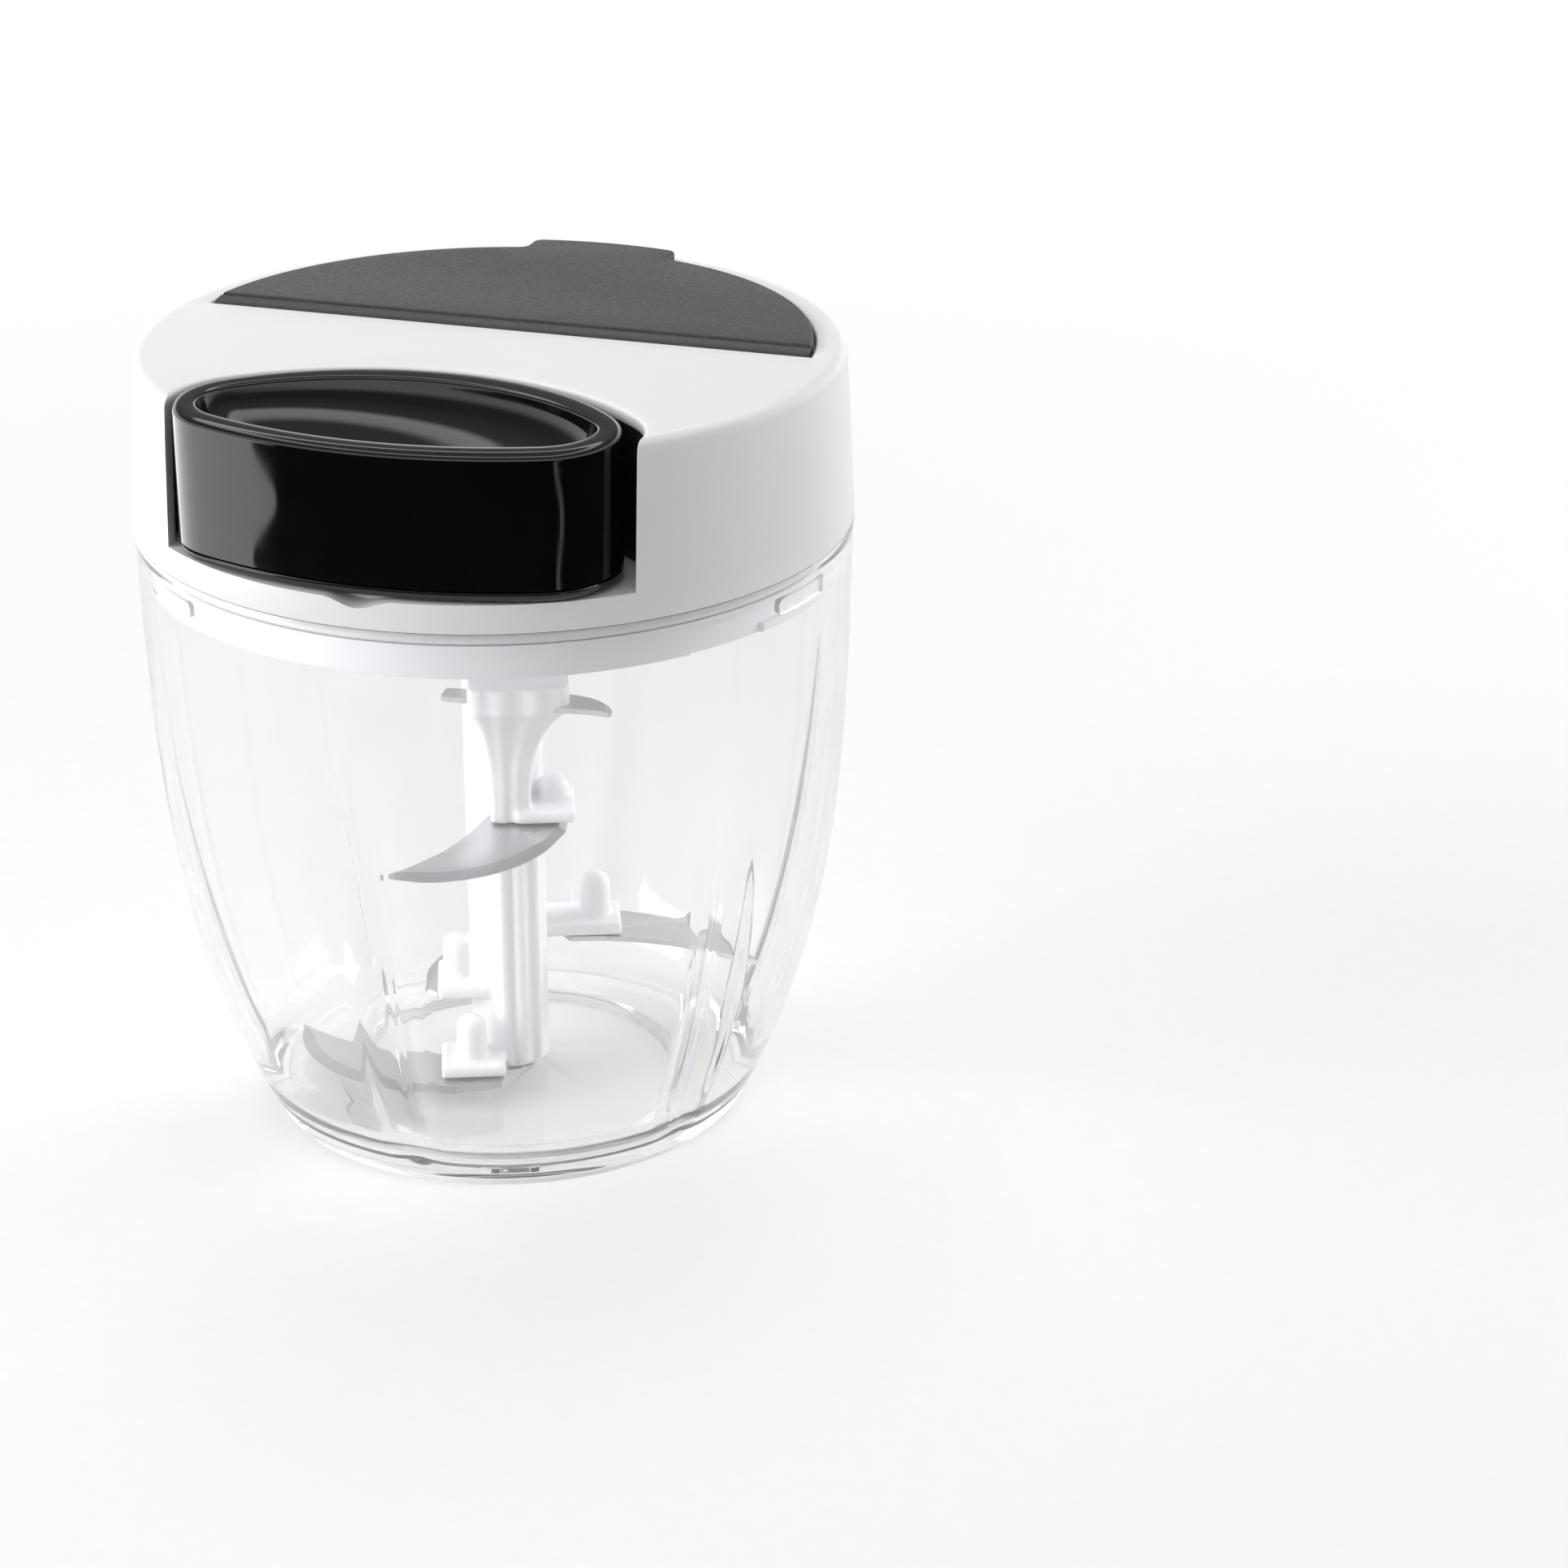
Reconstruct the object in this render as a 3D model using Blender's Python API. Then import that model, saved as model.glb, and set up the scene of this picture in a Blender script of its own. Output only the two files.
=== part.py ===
# Pull cord food chopper: clear bowl, cord driven lid and five bladed shaft.
# Metres, +Z up. The origin is on the bowl's axis, on the surface it stands on.
# The pull handle faces -Y. The lid is locked and every moving piece is at rest.

import math

import bmesh
import bpy
from mathutils import Matrix, Vector

MM = 0.001

# Running and seating clearances
SEAT_GAP = 0.3 * MM
FLAT_GAP = 0.3 * MM
SLIDE_GAP = 0.5 * MM
PIN_GAP = 0.25 * MM

# How far a guide runs past what it cuts
PAST = 5.0 * MM

# Bowl
BOWL_HEIGHT = 116.0 * MM
BOWL_RIM_RADIUS = 65.0 * MM
BOWL_BASE_RADIUS = 43.9 * MM
BOWL_DRAFT = 2.6 * MM
BOWL_BELLY_POWER = 3.3
BOWL_WALL = 2.2 * MM
BOWL_FLOOR_TOP = 4.8 * MM
BOWL_FLOOR_THICKNESS = 2.4 * MM
BOWL_FLOOR_FILLET = 6.1 * MM
BOWL_FOOT_WIDTH = 2.6 * MM
BOWL_FOOT_HEIGHT = 0.6 * MM
BOWL_FOOT_DRAFT = 0.2 * MM
BOWL_COLUMNS = 60

# Inward ribs of the bowl
RIB_COUNT = 6
RIB_FIRST_ANGLE = -90.0
RIB_DEPTH = 2.6 * MM
RIB_HALF_ANGLE = 7.0
RIB_COLUMN_POWER = 1.7
RIB_TOP = 100.0 * MM
RIB_FULL = 30.0 * MM
RIB_BOTTOM = 7.0 * MM

# Non slip ring under the bowl
RING_WIDTH = 8.0 * MM
RING_RIB_WIDTH = 2.0 * MM
RING_EDGE = 0.5 * MM

# Pivot pin in the bowl floor
PIN_RADIUS = 2.5 * MM
PIN_LENGTH = 26.0 * MM
PIN_SOCKET_FLOOR = 0.8 * MM
PIN_BOSS_RADIUS = 4.4 * MM
PIN_BOSS_HEIGHT = 1.6 * MM
PIN_BOSS_DRAFT = 0.3 * MM

# Bayonet between bowl and lid
LUG_COUNT = 3
LUG_FIRST_ANGLE = -12.0
LUG_HALF_ANGLE = 7.0
LUG_REACH = 1.2 * MM
LUG_HEIGHT = 3.0 * MM
LUG_TOP_BELOW_RIM = 4.0 * MM
LID_TWIST = 18.0
CHANNEL_GAP_ANGLE = 0.7

# Lid housing
LID_HEIGHT = 31.4 * MM
LID_TAPER = 1.5 * MM
LID_EDGE_ROUND = 1.6 * MM
LID_SEAM_EDGE = 0.4 * MM
LID_WALL = 2.2 * MM
LID_SEGMENTS = 60

# Lid base with the skirt that reaches into the bowl
SKIRT_DEPTH = 9.0 * MM
SKIRT_WALL = 2.6 * MM
BASE_PLATE = 2.0 * MM
SKIRT_TOP_ABOVE_RIM = 2.4 * MM
SEAL_GROOVE_DEPTH = 1.1 * MM
SEAL_HEIGHT = 1.6 * MM
SEAL_BELOW_RIM = 0.5 * MM

# Pull handle
HANDLE_CENTRE_Y = -45.0 * MM
HANDLE_HALF_SPAN = 25.5 * MM
HANDLE_END_RADIUS = 14.2 * MM
HANDLE_FRONT_SAG = 5.0 * MM
HANDLE_BACK_SAG = 10.8 * MM
HANDLE_HEIGHT = 26.0 * MM
HANDLE_WALL = 2.2 * MM
HANDLE_RIM = 4.2 * MM
HANDLE_BACK_RIM_EXTRA = 1.6 * MM
HANDLE_EDGE_ROUND = 1.4 * MM
HANDLE_COVER = 1.6 * MM
HANDLE_COVER_INSET = 0.1 * MM
HANDLE_SCREW_SUNK = 0.1 * MM
POCKET_DEPTH = 18.0 * MM
POCKET_POWER = 2.4
POCKET_LEVELS = 6
POCKET_LEAD = 3.0 * MM
HANDLE_SCREW_SPAN = 27.0 * MM

# Dock for the handle
DOCK_GAP = 0.8 * MM
DOCK_END_GAP = 2.6 * MM
DOCK_LINER = 1.6 * MM
DOCK_FLOOR = 1.8 * MM
DOCK_NOTCH_HALF_WIDTH = 5.0 * MM
DOCK_FLOOR_MARGIN = 1.0 * MM
DOCK_NOTCH_DEPTH = 2.2 * MM
DOCK_NOTCH_REACH = 4.0 * MM

# Fill flap
FLAP_CHORD_Y = 7.2 * MM
LID_RIM_WIDTH = 6.1 * MM
FLAP_THICKNESS = 2.6 * MM
FLAP_PROUD = 1.1 * MM
FLAP_FRONT_OVERHANG = 1.75 * MM
FLAP_AXIS_DEPTH = 2.1 * MM
FLAP_SLOPE = 2.95 * MM
FLAP_TAB_HALF_WIDTH = 14.2 * MM
FLAP_TAB_SET_BACK = 0.6 * MM
FLAP_PIN_RADIUS = 0.6 * MM
FLAP_PIN_REACH = 1.6 * MM
FLAP_SEAL = 1.1 * MM
FLAP_SEAL_WIDTH = 2.4 * MM
POCKET_FLOOR_WALL = 1.6 * MM

# Fill opening through the lid
FILL_CHORD_Y = 25.0 * MM
FILL_LEDGE = 8.4 * MM
CHUTE_WALL = 1.6 * MM

# Reel and cord
CORD_RADIUS = 0.9 * MM
DRUM_RADIUS = 10.5 * MM
WINDING_RADIUS = 13.6 * MM
REEL_FLANGE_RADIUS = 15.6 * MM
REEL_FLANGE = 1.4 * MM
REEL_DRUM_HEIGHT = 12.0 * MM
REEL_BOTTOM_ABOVE_DOCK = 5.2 * MM
ARBOR_RADIUS = 4.6 * MM
AXLE_RADIUS = 2.0 * MM
AXLE_BOSS_WALL = 2.6 * MM
AXLE_DEPTH = 3.0 * MM
WASHER_RADIUS = 4.4 * MM
WASHER = 0.6 * MM
CORD_BEND_RADIUS = 3.6 * MM

# Cord guide bush
GUIDE_RADIUS = 2.9 * MM
GUIDE_FLANGE_RADIUS = 4.2 * MM
GUIDE_FLANGE = 0.8 * MM
GUIDE_MOUTH_RADIUS = 2.1 * MM

# Recoil spring
SPRING_CUP_RADIUS = 21.0 * MM
SPRING_CUP_WALL = 1.5 * MM
SPRING_CUP_FLOOR = 1.3 * MM
SPRING_COVER = 1.2 * MM
SPRING_STRIP = 0.5 * MM
SPRING_TURNS = 5
SPRING_POINTS_PER_TURN = 16

# Drive socket and shaft head
SOCKET_RADIUS = 8.0 * MM
SOCKET_FLANGE_RADIUS = 11.0 * MM
SOCKET_FLANGE = 1.1 * MM
SOCKET_REACH = 7.5 * MM
SOCKET_WEB = 0.8 * MM
HEX_RADIUS = 5.2 * MM
HEX_GAP = 0.4 * MM
KEY_HALF_WIDTH = 2.9 * MM
KEY_HEIGHT = 1.8 * MM
SCREW_RADIUS = 1.2 * MM
SCREW_HEAD_RADIUS = 2.4 * MM
SCREW_HEAD = 1.4 * MM
SCREW_BITE = 4.0 * MM
SCREW_END_GAP = 1.0 * MM

# Lid screws
LID_SCREW_ANGLES = (-58.0, -122.0, 4.0, 176.0)
LID_SCREW_INSET = 8.2 * MM
LID_SCREW_POST_RADIUS = 3.4 * MM
LID_SCREW_LENGTH = 9.0 * MM

# Blade shaft
SHAFT_RADIUS = 7.3 * MM
SHAFT_TURN = 21.5
SHAFT_CHAMFER = 1.0 * MM
SHAFT_FLUTE_SUNK = 0.4 * MM
SHAFT_FLUTE_START = 0.6 * MM
SHAFT_FLUTE_RADIUS = 1.5 * MM
SHAFT_FLUTE_ANGLES = (-97.0, -72.0, -47.0)
PEG_RADIUS = 2.9 * MM
PAD_THICKNESS = 2.4 * MM
PAD_CORNER = 1.6 * MM
WEB_ABOVE_BLADE = 4.0 * MM
PIN_END_GAP = 2.5 * MM

# Blades
BLADE_THICKNESS = 1.0 * MM
BLADE_HALF_WIDTH = 7.0 * MM
BLADE_CURVE_RADIUS = 40.0 * MM
BLADE_SWEEP = 62.0
BLADE_SPIKE = 5.5 * MM
BLADE_STEPS = 14
BLADE_SPIKE_STEP = 7
BLADE_TAIL_TAPER = 0.55
RIVET_RADIUS = 1.2 * MM
RIVET_HEAD_RADIUS = 2.4 * MM
RIVET_HEAD = 0.7 * MM
RIVET_LENGTH = 4.0 * MM

# Radii worked out from the sizes above
BOWL_FLOOR_RADIUS = BOWL_BASE_RADIUS - BOWL_FLOOR_FILLET
RING_OUTER_RADIUS = BOWL_BASE_RADIUS - BOWL_FOOT_WIDTH - SEAT_GAP
RING_INNER_RADIUS = RING_OUTER_RADIUS - RING_WIDTH
LID_TOP_RADIUS = BOWL_RIM_RADIUS - LID_TAPER
FLAP_RADIUS = LID_TOP_RADIUS - LID_RIM_WIDTH
FLAP_TAB_RADIUS = LID_TOP_RADIUS - FLAP_TAB_SET_BACK
FILL_RADIUS = FLAP_RADIUS - FILL_LEDGE

# Levels worked out from the sizes above
SEAM_Z = BOWL_HEIGHT
LID_TOP_Z = SEAM_Z + LID_HEIGHT
DECK_Z = LID_TOP_Z - LID_WALL
SKIRT_Z = SEAM_Z - SKIRT_DEPTH
PLATE_TOP_Z = SKIRT_Z + BASE_PLATE
HANDLE_TOP_Z = LID_TOP_Z + 0.2 * MM
HANDLE_BOTTOM_Z = HANDLE_TOP_Z - HANDLE_HEIGHT
DOCK_FLOOR_Z = HANDLE_BOTTOM_Z - SLIDE_GAP
FLAP_TOP_Z = LID_TOP_Z + FLAP_PROUD
FLAP_BOTTOM_Z = FLAP_TOP_Z - FLAP_THICKNESS
FLAP_AXIS_Z = FLAP_TOP_Z - FLAP_AXIS_DEPTH
FLAP_AXIS_Y = FLAP_CHORD_Y + FLAP_FRONT_OVERHANG
POCKET_Z = FLAP_BOTTOM_Z - FLAP_SEAL - 2 * FLAT_GAP
REEL_Z = DOCK_FLOOR_Z + REEL_BOTTOM_ABOVE_DOCK
REEL_TOP_Z = REEL_Z + REEL_DRUM_HEIGHT + 2 * REEL_FLANGE
AXLE_TOP_Z = LID_TOP_Z - LID_WALL * 0.6
CORD_Z = REEL_Z + REEL_FLANGE + REEL_DRUM_HEIGHT / 2
SOCKET_FLANGE_Z = PLATE_TOP_Z + FLAT_GAP
SOCKET_TOP_Z = SOCKET_FLANGE_Z + SOCKET_FLANGE
SOCKET_BOTTOM_Z = SKIRT_Z - SOCKET_REACH
SPRING_CUP_TOP_Z = DOCK_FLOOR_Z - DOCK_FLOOR - FLAT_GAP
FLOOR_UNDER_Z = BOWL_FLOOR_TOP - BOWL_FLOOR_THICKNESS
SHAFT_BOTTOM_Z = BOWL_FLOOR_TOP + PIN_BOSS_HEIGHT + SEAT_GAP
SHAFT_TOP_Z = SOCKET_BOTTOM_Z - SLIDE_GAP


# Scene and object helpers

def clear_scene():
    for old in list(bpy.data.objects):
        bpy.data.objects.remove(old, do_unlink=True)


def make_material(name, colour, roughness, metallic=0.0, alpha=1.0):
    """A Principled material with the part's colour."""
    material = bpy.data.materials.new(name)
    material.use_nodes = True
    shader = material.node_tree.nodes["Principled BSDF"]
    shader.inputs["Base Color"].default_value = (*colour, 1.0)
    shader.inputs["Roughness"].default_value = roughness
    shader.inputs["Metallic"].default_value = metallic
    shader.inputs["Alpha"].default_value = alpha
    return material


def object_from(name, bm, material=None, smooth=True):
    """Turn a bmesh into a named object in the scene."""
    bmesh.ops.recalc_face_normals(bm, faces=bm.faces[:])
    mesh = bpy.data.meshes.new(name)
    bm.to_mesh(mesh)
    bm.free()
    if smooth:
        mesh.shade_smooth()
        mesh.set_sharp_from_angle(angle=math.radians(35.0))
    if material is not None:
        mesh.materials.append(material)
    obj = bpy.data.objects.new(name, mesh)
    bpy.context.scene.collection.objects.link(obj)
    return obj


def as_guide(obj):
    """Mark an object as a cutter or a guide, which is not a piece."""
    obj.hide_render = True
    obj.display_type = "WIRE"
    return obj


def boolean(target, other, operation):
    """Cut, join or intersect a piece with a guide, which then moves with the piece."""
    as_guide(other)
    other.parent = target
    modifier = target.modifiers.new(other.name, "BOOLEAN")
    modifier.operation = operation
    modifier.solver = "EXACT"
    modifier.object = other
    return target


def cut(target, *cutters):
    for cutter in cutters:
        boolean(target, cutter, "DIFFERENCE")
    return target


def join(target, *others):
    for other in others:
        boolean(target, other, "UNION")
    return target


def point_on(radius, degrees, z=0.0):
    angle = math.radians(degrees)
    return Vector((radius * math.cos(angle), radius * math.sin(angle), z))


def turn_shaft(obj):
    """The shaft stands turned about the axis, as it came to rest."""
    obj.rotation_euler = (0.0, 0.0, math.radians(SHAFT_TURN))
    return obj


# Shape helpers

def lathe_bmesh(profile, steps):
    """Turn a closed profile of (radius, z) points about Z. It may touch the axis."""
    bm = bmesh.new()
    verts = [bm.verts.new((radius, 0.0, z)) for radius, z in profile]
    edges = [bm.edges.new(pair) for pair in zip(verts, verts[1:] + verts[:1])
             if pair[0].co.x > 0.0 or pair[1].co.x > 0.0]
    bmesh.ops.spin(bm, geom=verts + edges, cent=(0.0, 0.0, 0.0), axis=(0.0, 0.0, 1.0),
                   angle=math.tau, steps=steps, use_merge=True)
    bmesh.ops.remove_doubles(bm, verts=bm.verts[:], dist=1e-6)
    return bm


def lathe(name, profile, steps, material=None):
    return object_from(name, lathe_bmesh(profile, steps), material)


def disc(name, radius, z0, z1, steps, material=None):
    """A solid round piece from z0 to z1."""
    profile = [(0.0, z0), (radius, z0), (radius, z1), (0.0, z1)]
    return lathe(name, profile, steps, material)


def prism_bmesh(outline, z0, z1):
    """Extrude a flat outline of (x, y) points from z0 to z1."""
    bm = bmesh.new()
    face = bm.faces.new([bm.verts.new((x, y, z0)) for x, y in outline])
    extruded = bmesh.ops.extrude_face_region(bm, geom=[face])
    top = [item for item in extruded["geom"] if isinstance(item, bmesh.types.BMVert)]
    bmesh.ops.translate(bm, verts=top, vec=(0.0, 0.0, z1 - z0))
    return bm


def prism(name, outline, z0, z1, material=None):
    return object_from(name, prism_bmesh(outline, z0, z1), material)


def loft_bmesh(rings):
    """Join rings of equal length, each a list of 3-D points, and cap both ends."""
    bm = bmesh.new()
    rows = [[bm.verts.new(point) for point in ring] for ring in rings]
    for low, high in zip(rows, rows[1:]):
        for index in range(len(low)):
            after = (index + 1) % len(low)
            bm.faces.new((low[index], low[after], high[after], high[index]))
    bm.faces.new(rows[0][::-1])
    bm.faces.new(rows[-1])
    return bm


def loft(name, rings, material=None):
    return object_from(name, loft_bmesh(rings), material)


def box(name, low, high, material=None):
    """A box between two corners."""
    bm = bmesh.new()
    bmesh.ops.create_cube(bm, size=1.0)
    size = Vector(high) - Vector(low)
    bmesh.ops.scale(bm, verts=bm.verts[:], vec=size)
    bmesh.ops.translate(bm, verts=bm.verts[:], vec=Vector(low) + size / 2)
    return object_from(name, bm, material, smooth=False)


def rod(name, start, end, radius, steps, material=None):
    """A round rod between two points."""
    start = Vector(start)
    span = Vector(end) - start
    bm = lathe_bmesh([(0.0, 0.0), (radius, 0.0), (radius, span.length), (0.0, span.length)], steps)
    turn = Vector((0.0, 0.0, 1.0)).rotation_difference(span).to_matrix().to_4x4()
    bmesh.ops.transform(bm, matrix=Matrix.Translation(start) @ turn, verts=bm.verts[:])
    return object_from(name, bm, material)


def arc(centre, radius, start, end, count):
    """Points on an arc, from one angle in degrees to another."""
    points = []
    for index in range(count + 1):
        angle = math.radians(start + (end - start) * index / count)
        points.append((centre[0] + radius * math.cos(angle), centre[1] + radius * math.sin(angle)))
    return points


def segment_outline(chord_y, radius, count=28):
    """A half moon: the part of a disc that lies behind a chord."""
    start = math.degrees(math.asin(chord_y / radius))
    return arc((0.0, 0.0), radius, start, 180.0 - start, count)


def sector_block(name, inner, outer, start, end, z0, z1, count=6):
    """A block between two radii and two angles in degrees."""
    outline = arc((0.0, 0.0), outer, start, end, count) + arc((0.0, 0.0), inner, end, start, count)
    return prism(name, outline, z0, z1)


def lens_outline(grow=0.0, grow_ends=0.0, ends=5, sides=8):
    """The handle's plan: a flat front arc, a rounder back arc and round ends."""
    span = HANDLE_HALF_SPAN + grow_ends
    radius = HANDLE_END_RADIUS + grow
    front = (span ** 2 + HANDLE_FRONT_SAG ** 2) / (2 * HANDLE_FRONT_SAG)
    back = (span ** 2 + HANDLE_BACK_SAG ** 2) / (2 * HANDLE_BACK_SAG)
    front_angle = math.degrees(math.asin(span / front))
    back_angle = math.degrees(math.asin(span / back))
    front_centre = (0.0, HANDLE_CENTRE_Y + front - HANDLE_FRONT_SAG)
    back_centre = (0.0, HANDLE_CENTRE_Y - back + HANDLE_BACK_SAG)
    points = arc(front_centre, front + radius, -90.0 - front_angle, -90.0 + front_angle, sides)
    points += arc((span, HANDLE_CENTRE_Y), radius, -90.0 + front_angle, 90.0 - back_angle, ends)[1:]
    points += arc(back_centre, back + radius, 90.0 - back_angle, 90.0 + back_angle, sides + 2)[1:]
    points += arc((-span, HANDLE_CENTRE_Y), radius, 90.0 + back_angle, 270.0 - front_angle, ends)[1:-1]
    return points


def handle_front_y(grow=0.0):
    return HANDLE_CENTRE_Y - HANDLE_FRONT_SAG - HANDLE_END_RADIUS - grow


def handle_back_y(grow=0.0):
    return HANDLE_CENTRE_Y + HANDLE_BACK_SAG + HANDLE_END_RADIUS + grow


def lid_radius(z):
    """Outer radius of the lid housing, which narrows towards its top."""
    share = (z - SEAM_Z) / LID_HEIGHT
    return BOWL_RIM_RADIUS + (LID_TOP_RADIUS - BOWL_RIM_RADIUS) * share


# Bowl

def bowl_radius(z):
    """Outer radius of the bowl: a full belly on a small base, with draft."""
    share = max(0.0, min(1.0, z / BOWL_HEIGHT))
    belly = BOWL_RIM_RADIUS - BOWL_BASE_RADIUS - BOWL_DRAFT
    return BOWL_BASE_RADIUS + belly * (1.0 - (1.0 - share) ** BOWL_BELLY_POWER) + BOWL_DRAFT * share


def bowl_levels():
    shares = (0.86, 0.68, 0.50, 0.34, 0.21, 0.12)
    return [BOWL_HEIGHT * share for share in shares]


def skirt_radius():
    """The lid skirt runs inside the narrowest bore that it enters."""
    return bowl_radius(SKIRT_Z) - BOWL_WALL - SLIDE_GAP


def bowl_profile():
    rim = BOWL_HEIGHT - FLAT_GAP
    levels = bowl_levels()
    foot = BOWL_BASE_RADIUS
    groove_out = RING_OUTER_RADIUS + SEAT_GAP
    groove_in = RING_INNER_RADIUS - SEAT_GAP
    outer = [(bowl_radius(rim), rim)]
    outer += [(bowl_radius(z), z) for z in levels]
    outer += [(bowl_radius(BOWL_FLOOR_TOP * 1.9), BOWL_FLOOR_TOP * 1.9)]
    outer += [(bowl_radius(BOWL_FLOOR_TOP * 0.6), BOWL_FLOOR_TOP * 0.6)]
    outer += [(foot - BOWL_FOOT_DRAFT, BOWL_FOOT_HEIGHT)]
    under = [(groove_out, BOWL_FOOT_HEIGHT), (groove_out, FLOOR_UNDER_Z), (groove_in, FLOOR_UNDER_Z)]
    under += [(groove_in, BOWL_FOOT_HEIGHT), (groove_in - RING_RIB_WIDTH, BOWL_FOOT_HEIGHT)]
    under += [(groove_in - RING_RIB_WIDTH, FLOOR_UNDER_Z), (0.0, FLOOR_UNDER_Z)]
    socket = PIN_RADIUS + SEAT_GAP
    boss_top = BOWL_FLOOR_TOP + PIN_BOSS_HEIGHT
    socket_floor = FLOOR_UNDER_Z + PIN_SOCKET_FLOOR
    inside = [(0.0, socket_floor), (socket, socket_floor), (socket, boss_top), (PIN_BOSS_RADIUS, boss_top)]
    inside += [(PIN_BOSS_RADIUS + PIN_BOSS_DRAFT, BOWL_FLOOR_TOP), (BOWL_FLOOR_RADIUS, BOWL_FLOOR_TOP)]
    corner_z = levels[-1]
    corner_r = bowl_radius(corner_z) - BOWL_WALL
    corner_mid = (BOWL_FLOOR_RADIUS * 0.4 + corner_r * 0.6, BOWL_FLOOR_TOP * 0.75 + corner_z * 0.25)
    inside += [corner_mid]
    inside += [(bowl_radius(z) - BOWL_WALL, z) for z in reversed(levels)]
    inside += [(bowl_radius(rim) - BOWL_WALL, rim)]
    return outer + under + inside


def rib_depth(z):
    """How far a rib reaches inward at a height."""
    if z >= RIB_TOP or z <= RIB_BOTTOM:
        return 0.0
    rise = min(1.0, (RIB_TOP - z) / (RIB_TOP - RIB_FULL))
    return RIB_DEPTH * rise ** 0.8


def make_bowl(material):
    bm = lathe_bmesh(bowl_profile(), BOWL_COLUMNS)
    per_rib = BOWL_COLUMNS // RIB_COUNT
    sector = 360.0 / RIB_COUNT
    for vert in bm.verts:
        radius = vert.co.xy.length
        if radius < 1e-5:
            continue
        column = round(math.degrees(math.atan2(vert.co.y, vert.co.x)) / (360.0 / BOWL_COLUMNS))
        rib, step = divmod(column + per_rib // 2, per_rib)
        step -= per_rib // 2
        offset = math.copysign((abs(step) * 2 / per_rib) ** RIB_COLUMN_POWER * sector / 2, step)
        if vert.co.z > BOWL_FLOOR_TOP:
            radius -= rib_depth(vert.co.z) * max(0.0, 1.0 - abs(offset) / RIB_HALF_ANGLE)
        vert.co = point_on(radius, RIB_FIRST_ANGLE + rib * sector + offset, vert.co.z)
    bowl = object_from("bowl", bm, material)
    top = BOWL_HEIGHT - LUG_TOP_BELOW_RIM
    low = top - LUG_HEIGHT
    for index in range(LUG_COUNT):
        centre = LUG_FIRST_ANGLE + index * 360.0 / LUG_COUNT
        wall = bowl_radius(low) - BOWL_WALL
        lug = sector_block(f"guide_lug_{index}", wall - LUG_REACH, wall + BOWL_WALL / 2,
                           centre - LUG_HALF_ANGLE, centre + LUG_HALF_ANGLE, low, top)
        join(bowl, lug)
    return bowl


def make_non_slip_ring(material):
    top = FLOOR_UNDER_Z - SEAT_GAP
    profile = [(RING_INNER_RADIUS, 0.0), (RING_OUTER_RADIUS - RING_EDGE, 0.0), (RING_OUTER_RADIUS, RING_EDGE),
               (RING_OUTER_RADIUS, top), (RING_INNER_RADIUS, top)]
    return lathe("non_slip_ring", profile, 40, material)


def make_pivot_pin(material):
    low = FLOOR_UNDER_Z + PIN_SOCKET_FLOOR + SEAT_GAP
    high = low + PIN_LENGTH
    tip = PIN_RADIUS * 0.6
    profile = [(0.0, low), (PIN_RADIUS, low), (PIN_RADIUS, high - tip / 2), (tip, high), (0.0, high)]
    return lathe("bowl_pivot_pin", profile, 16, material)


# Lid housing

def dock_outline(grow=0.0):
    """The dock's plan: the handle's back and ends with a gap, open at the front."""
    outline = lens_outline(DOCK_GAP + grow, DOCK_END_GAP - DOCK_GAP)
    back = [point for point in outline if point[1] >= HANDLE_CENTRE_Y]
    back.sort(key=lambda point: point[0])
    reach = max(point[0] for point in back)
    front = -BOWL_RIM_RADIUS - PAST
    return [(-reach, front), (reach, front)] + back[::-1]


def flap_pocket_outline(grow=0.0):
    clearance = math.hypot(FLAP_FRONT_OVERHANG, FLAP_AXIS_Z - LID_TOP_Z) + SEAT_GAP
    return segment_outline(FLAP_AXIS_Y - clearance - grow, FLAP_RADIUS + SLIDE_GAP + grow)


def lid_screw_places():
    ring = skirt_radius() - LID_SCREW_INSET
    return [point_on(ring, degrees) for degrees in LID_SCREW_ANGLES]


def axle_boss(high, grow=0.0):
    return disc("guide_axle_boss", AXLE_RADIUS + SEAT_GAP + AXLE_BOSS_WALL + grow,
                REEL_TOP_Z + WASHER + 2 * FLAT_GAP - grow, high, 24)


def screw_posts(high, grow=0.0):
    posts = []
    for index, place in enumerate(lid_screw_places()):
        post = disc(f"guide_post_{index}", LID_SCREW_POST_RADIUS + grow, PLATE_TOP_Z + FLAT_GAP, high, 12)
        post.location = place
        posts.append(post)
    return posts


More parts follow.
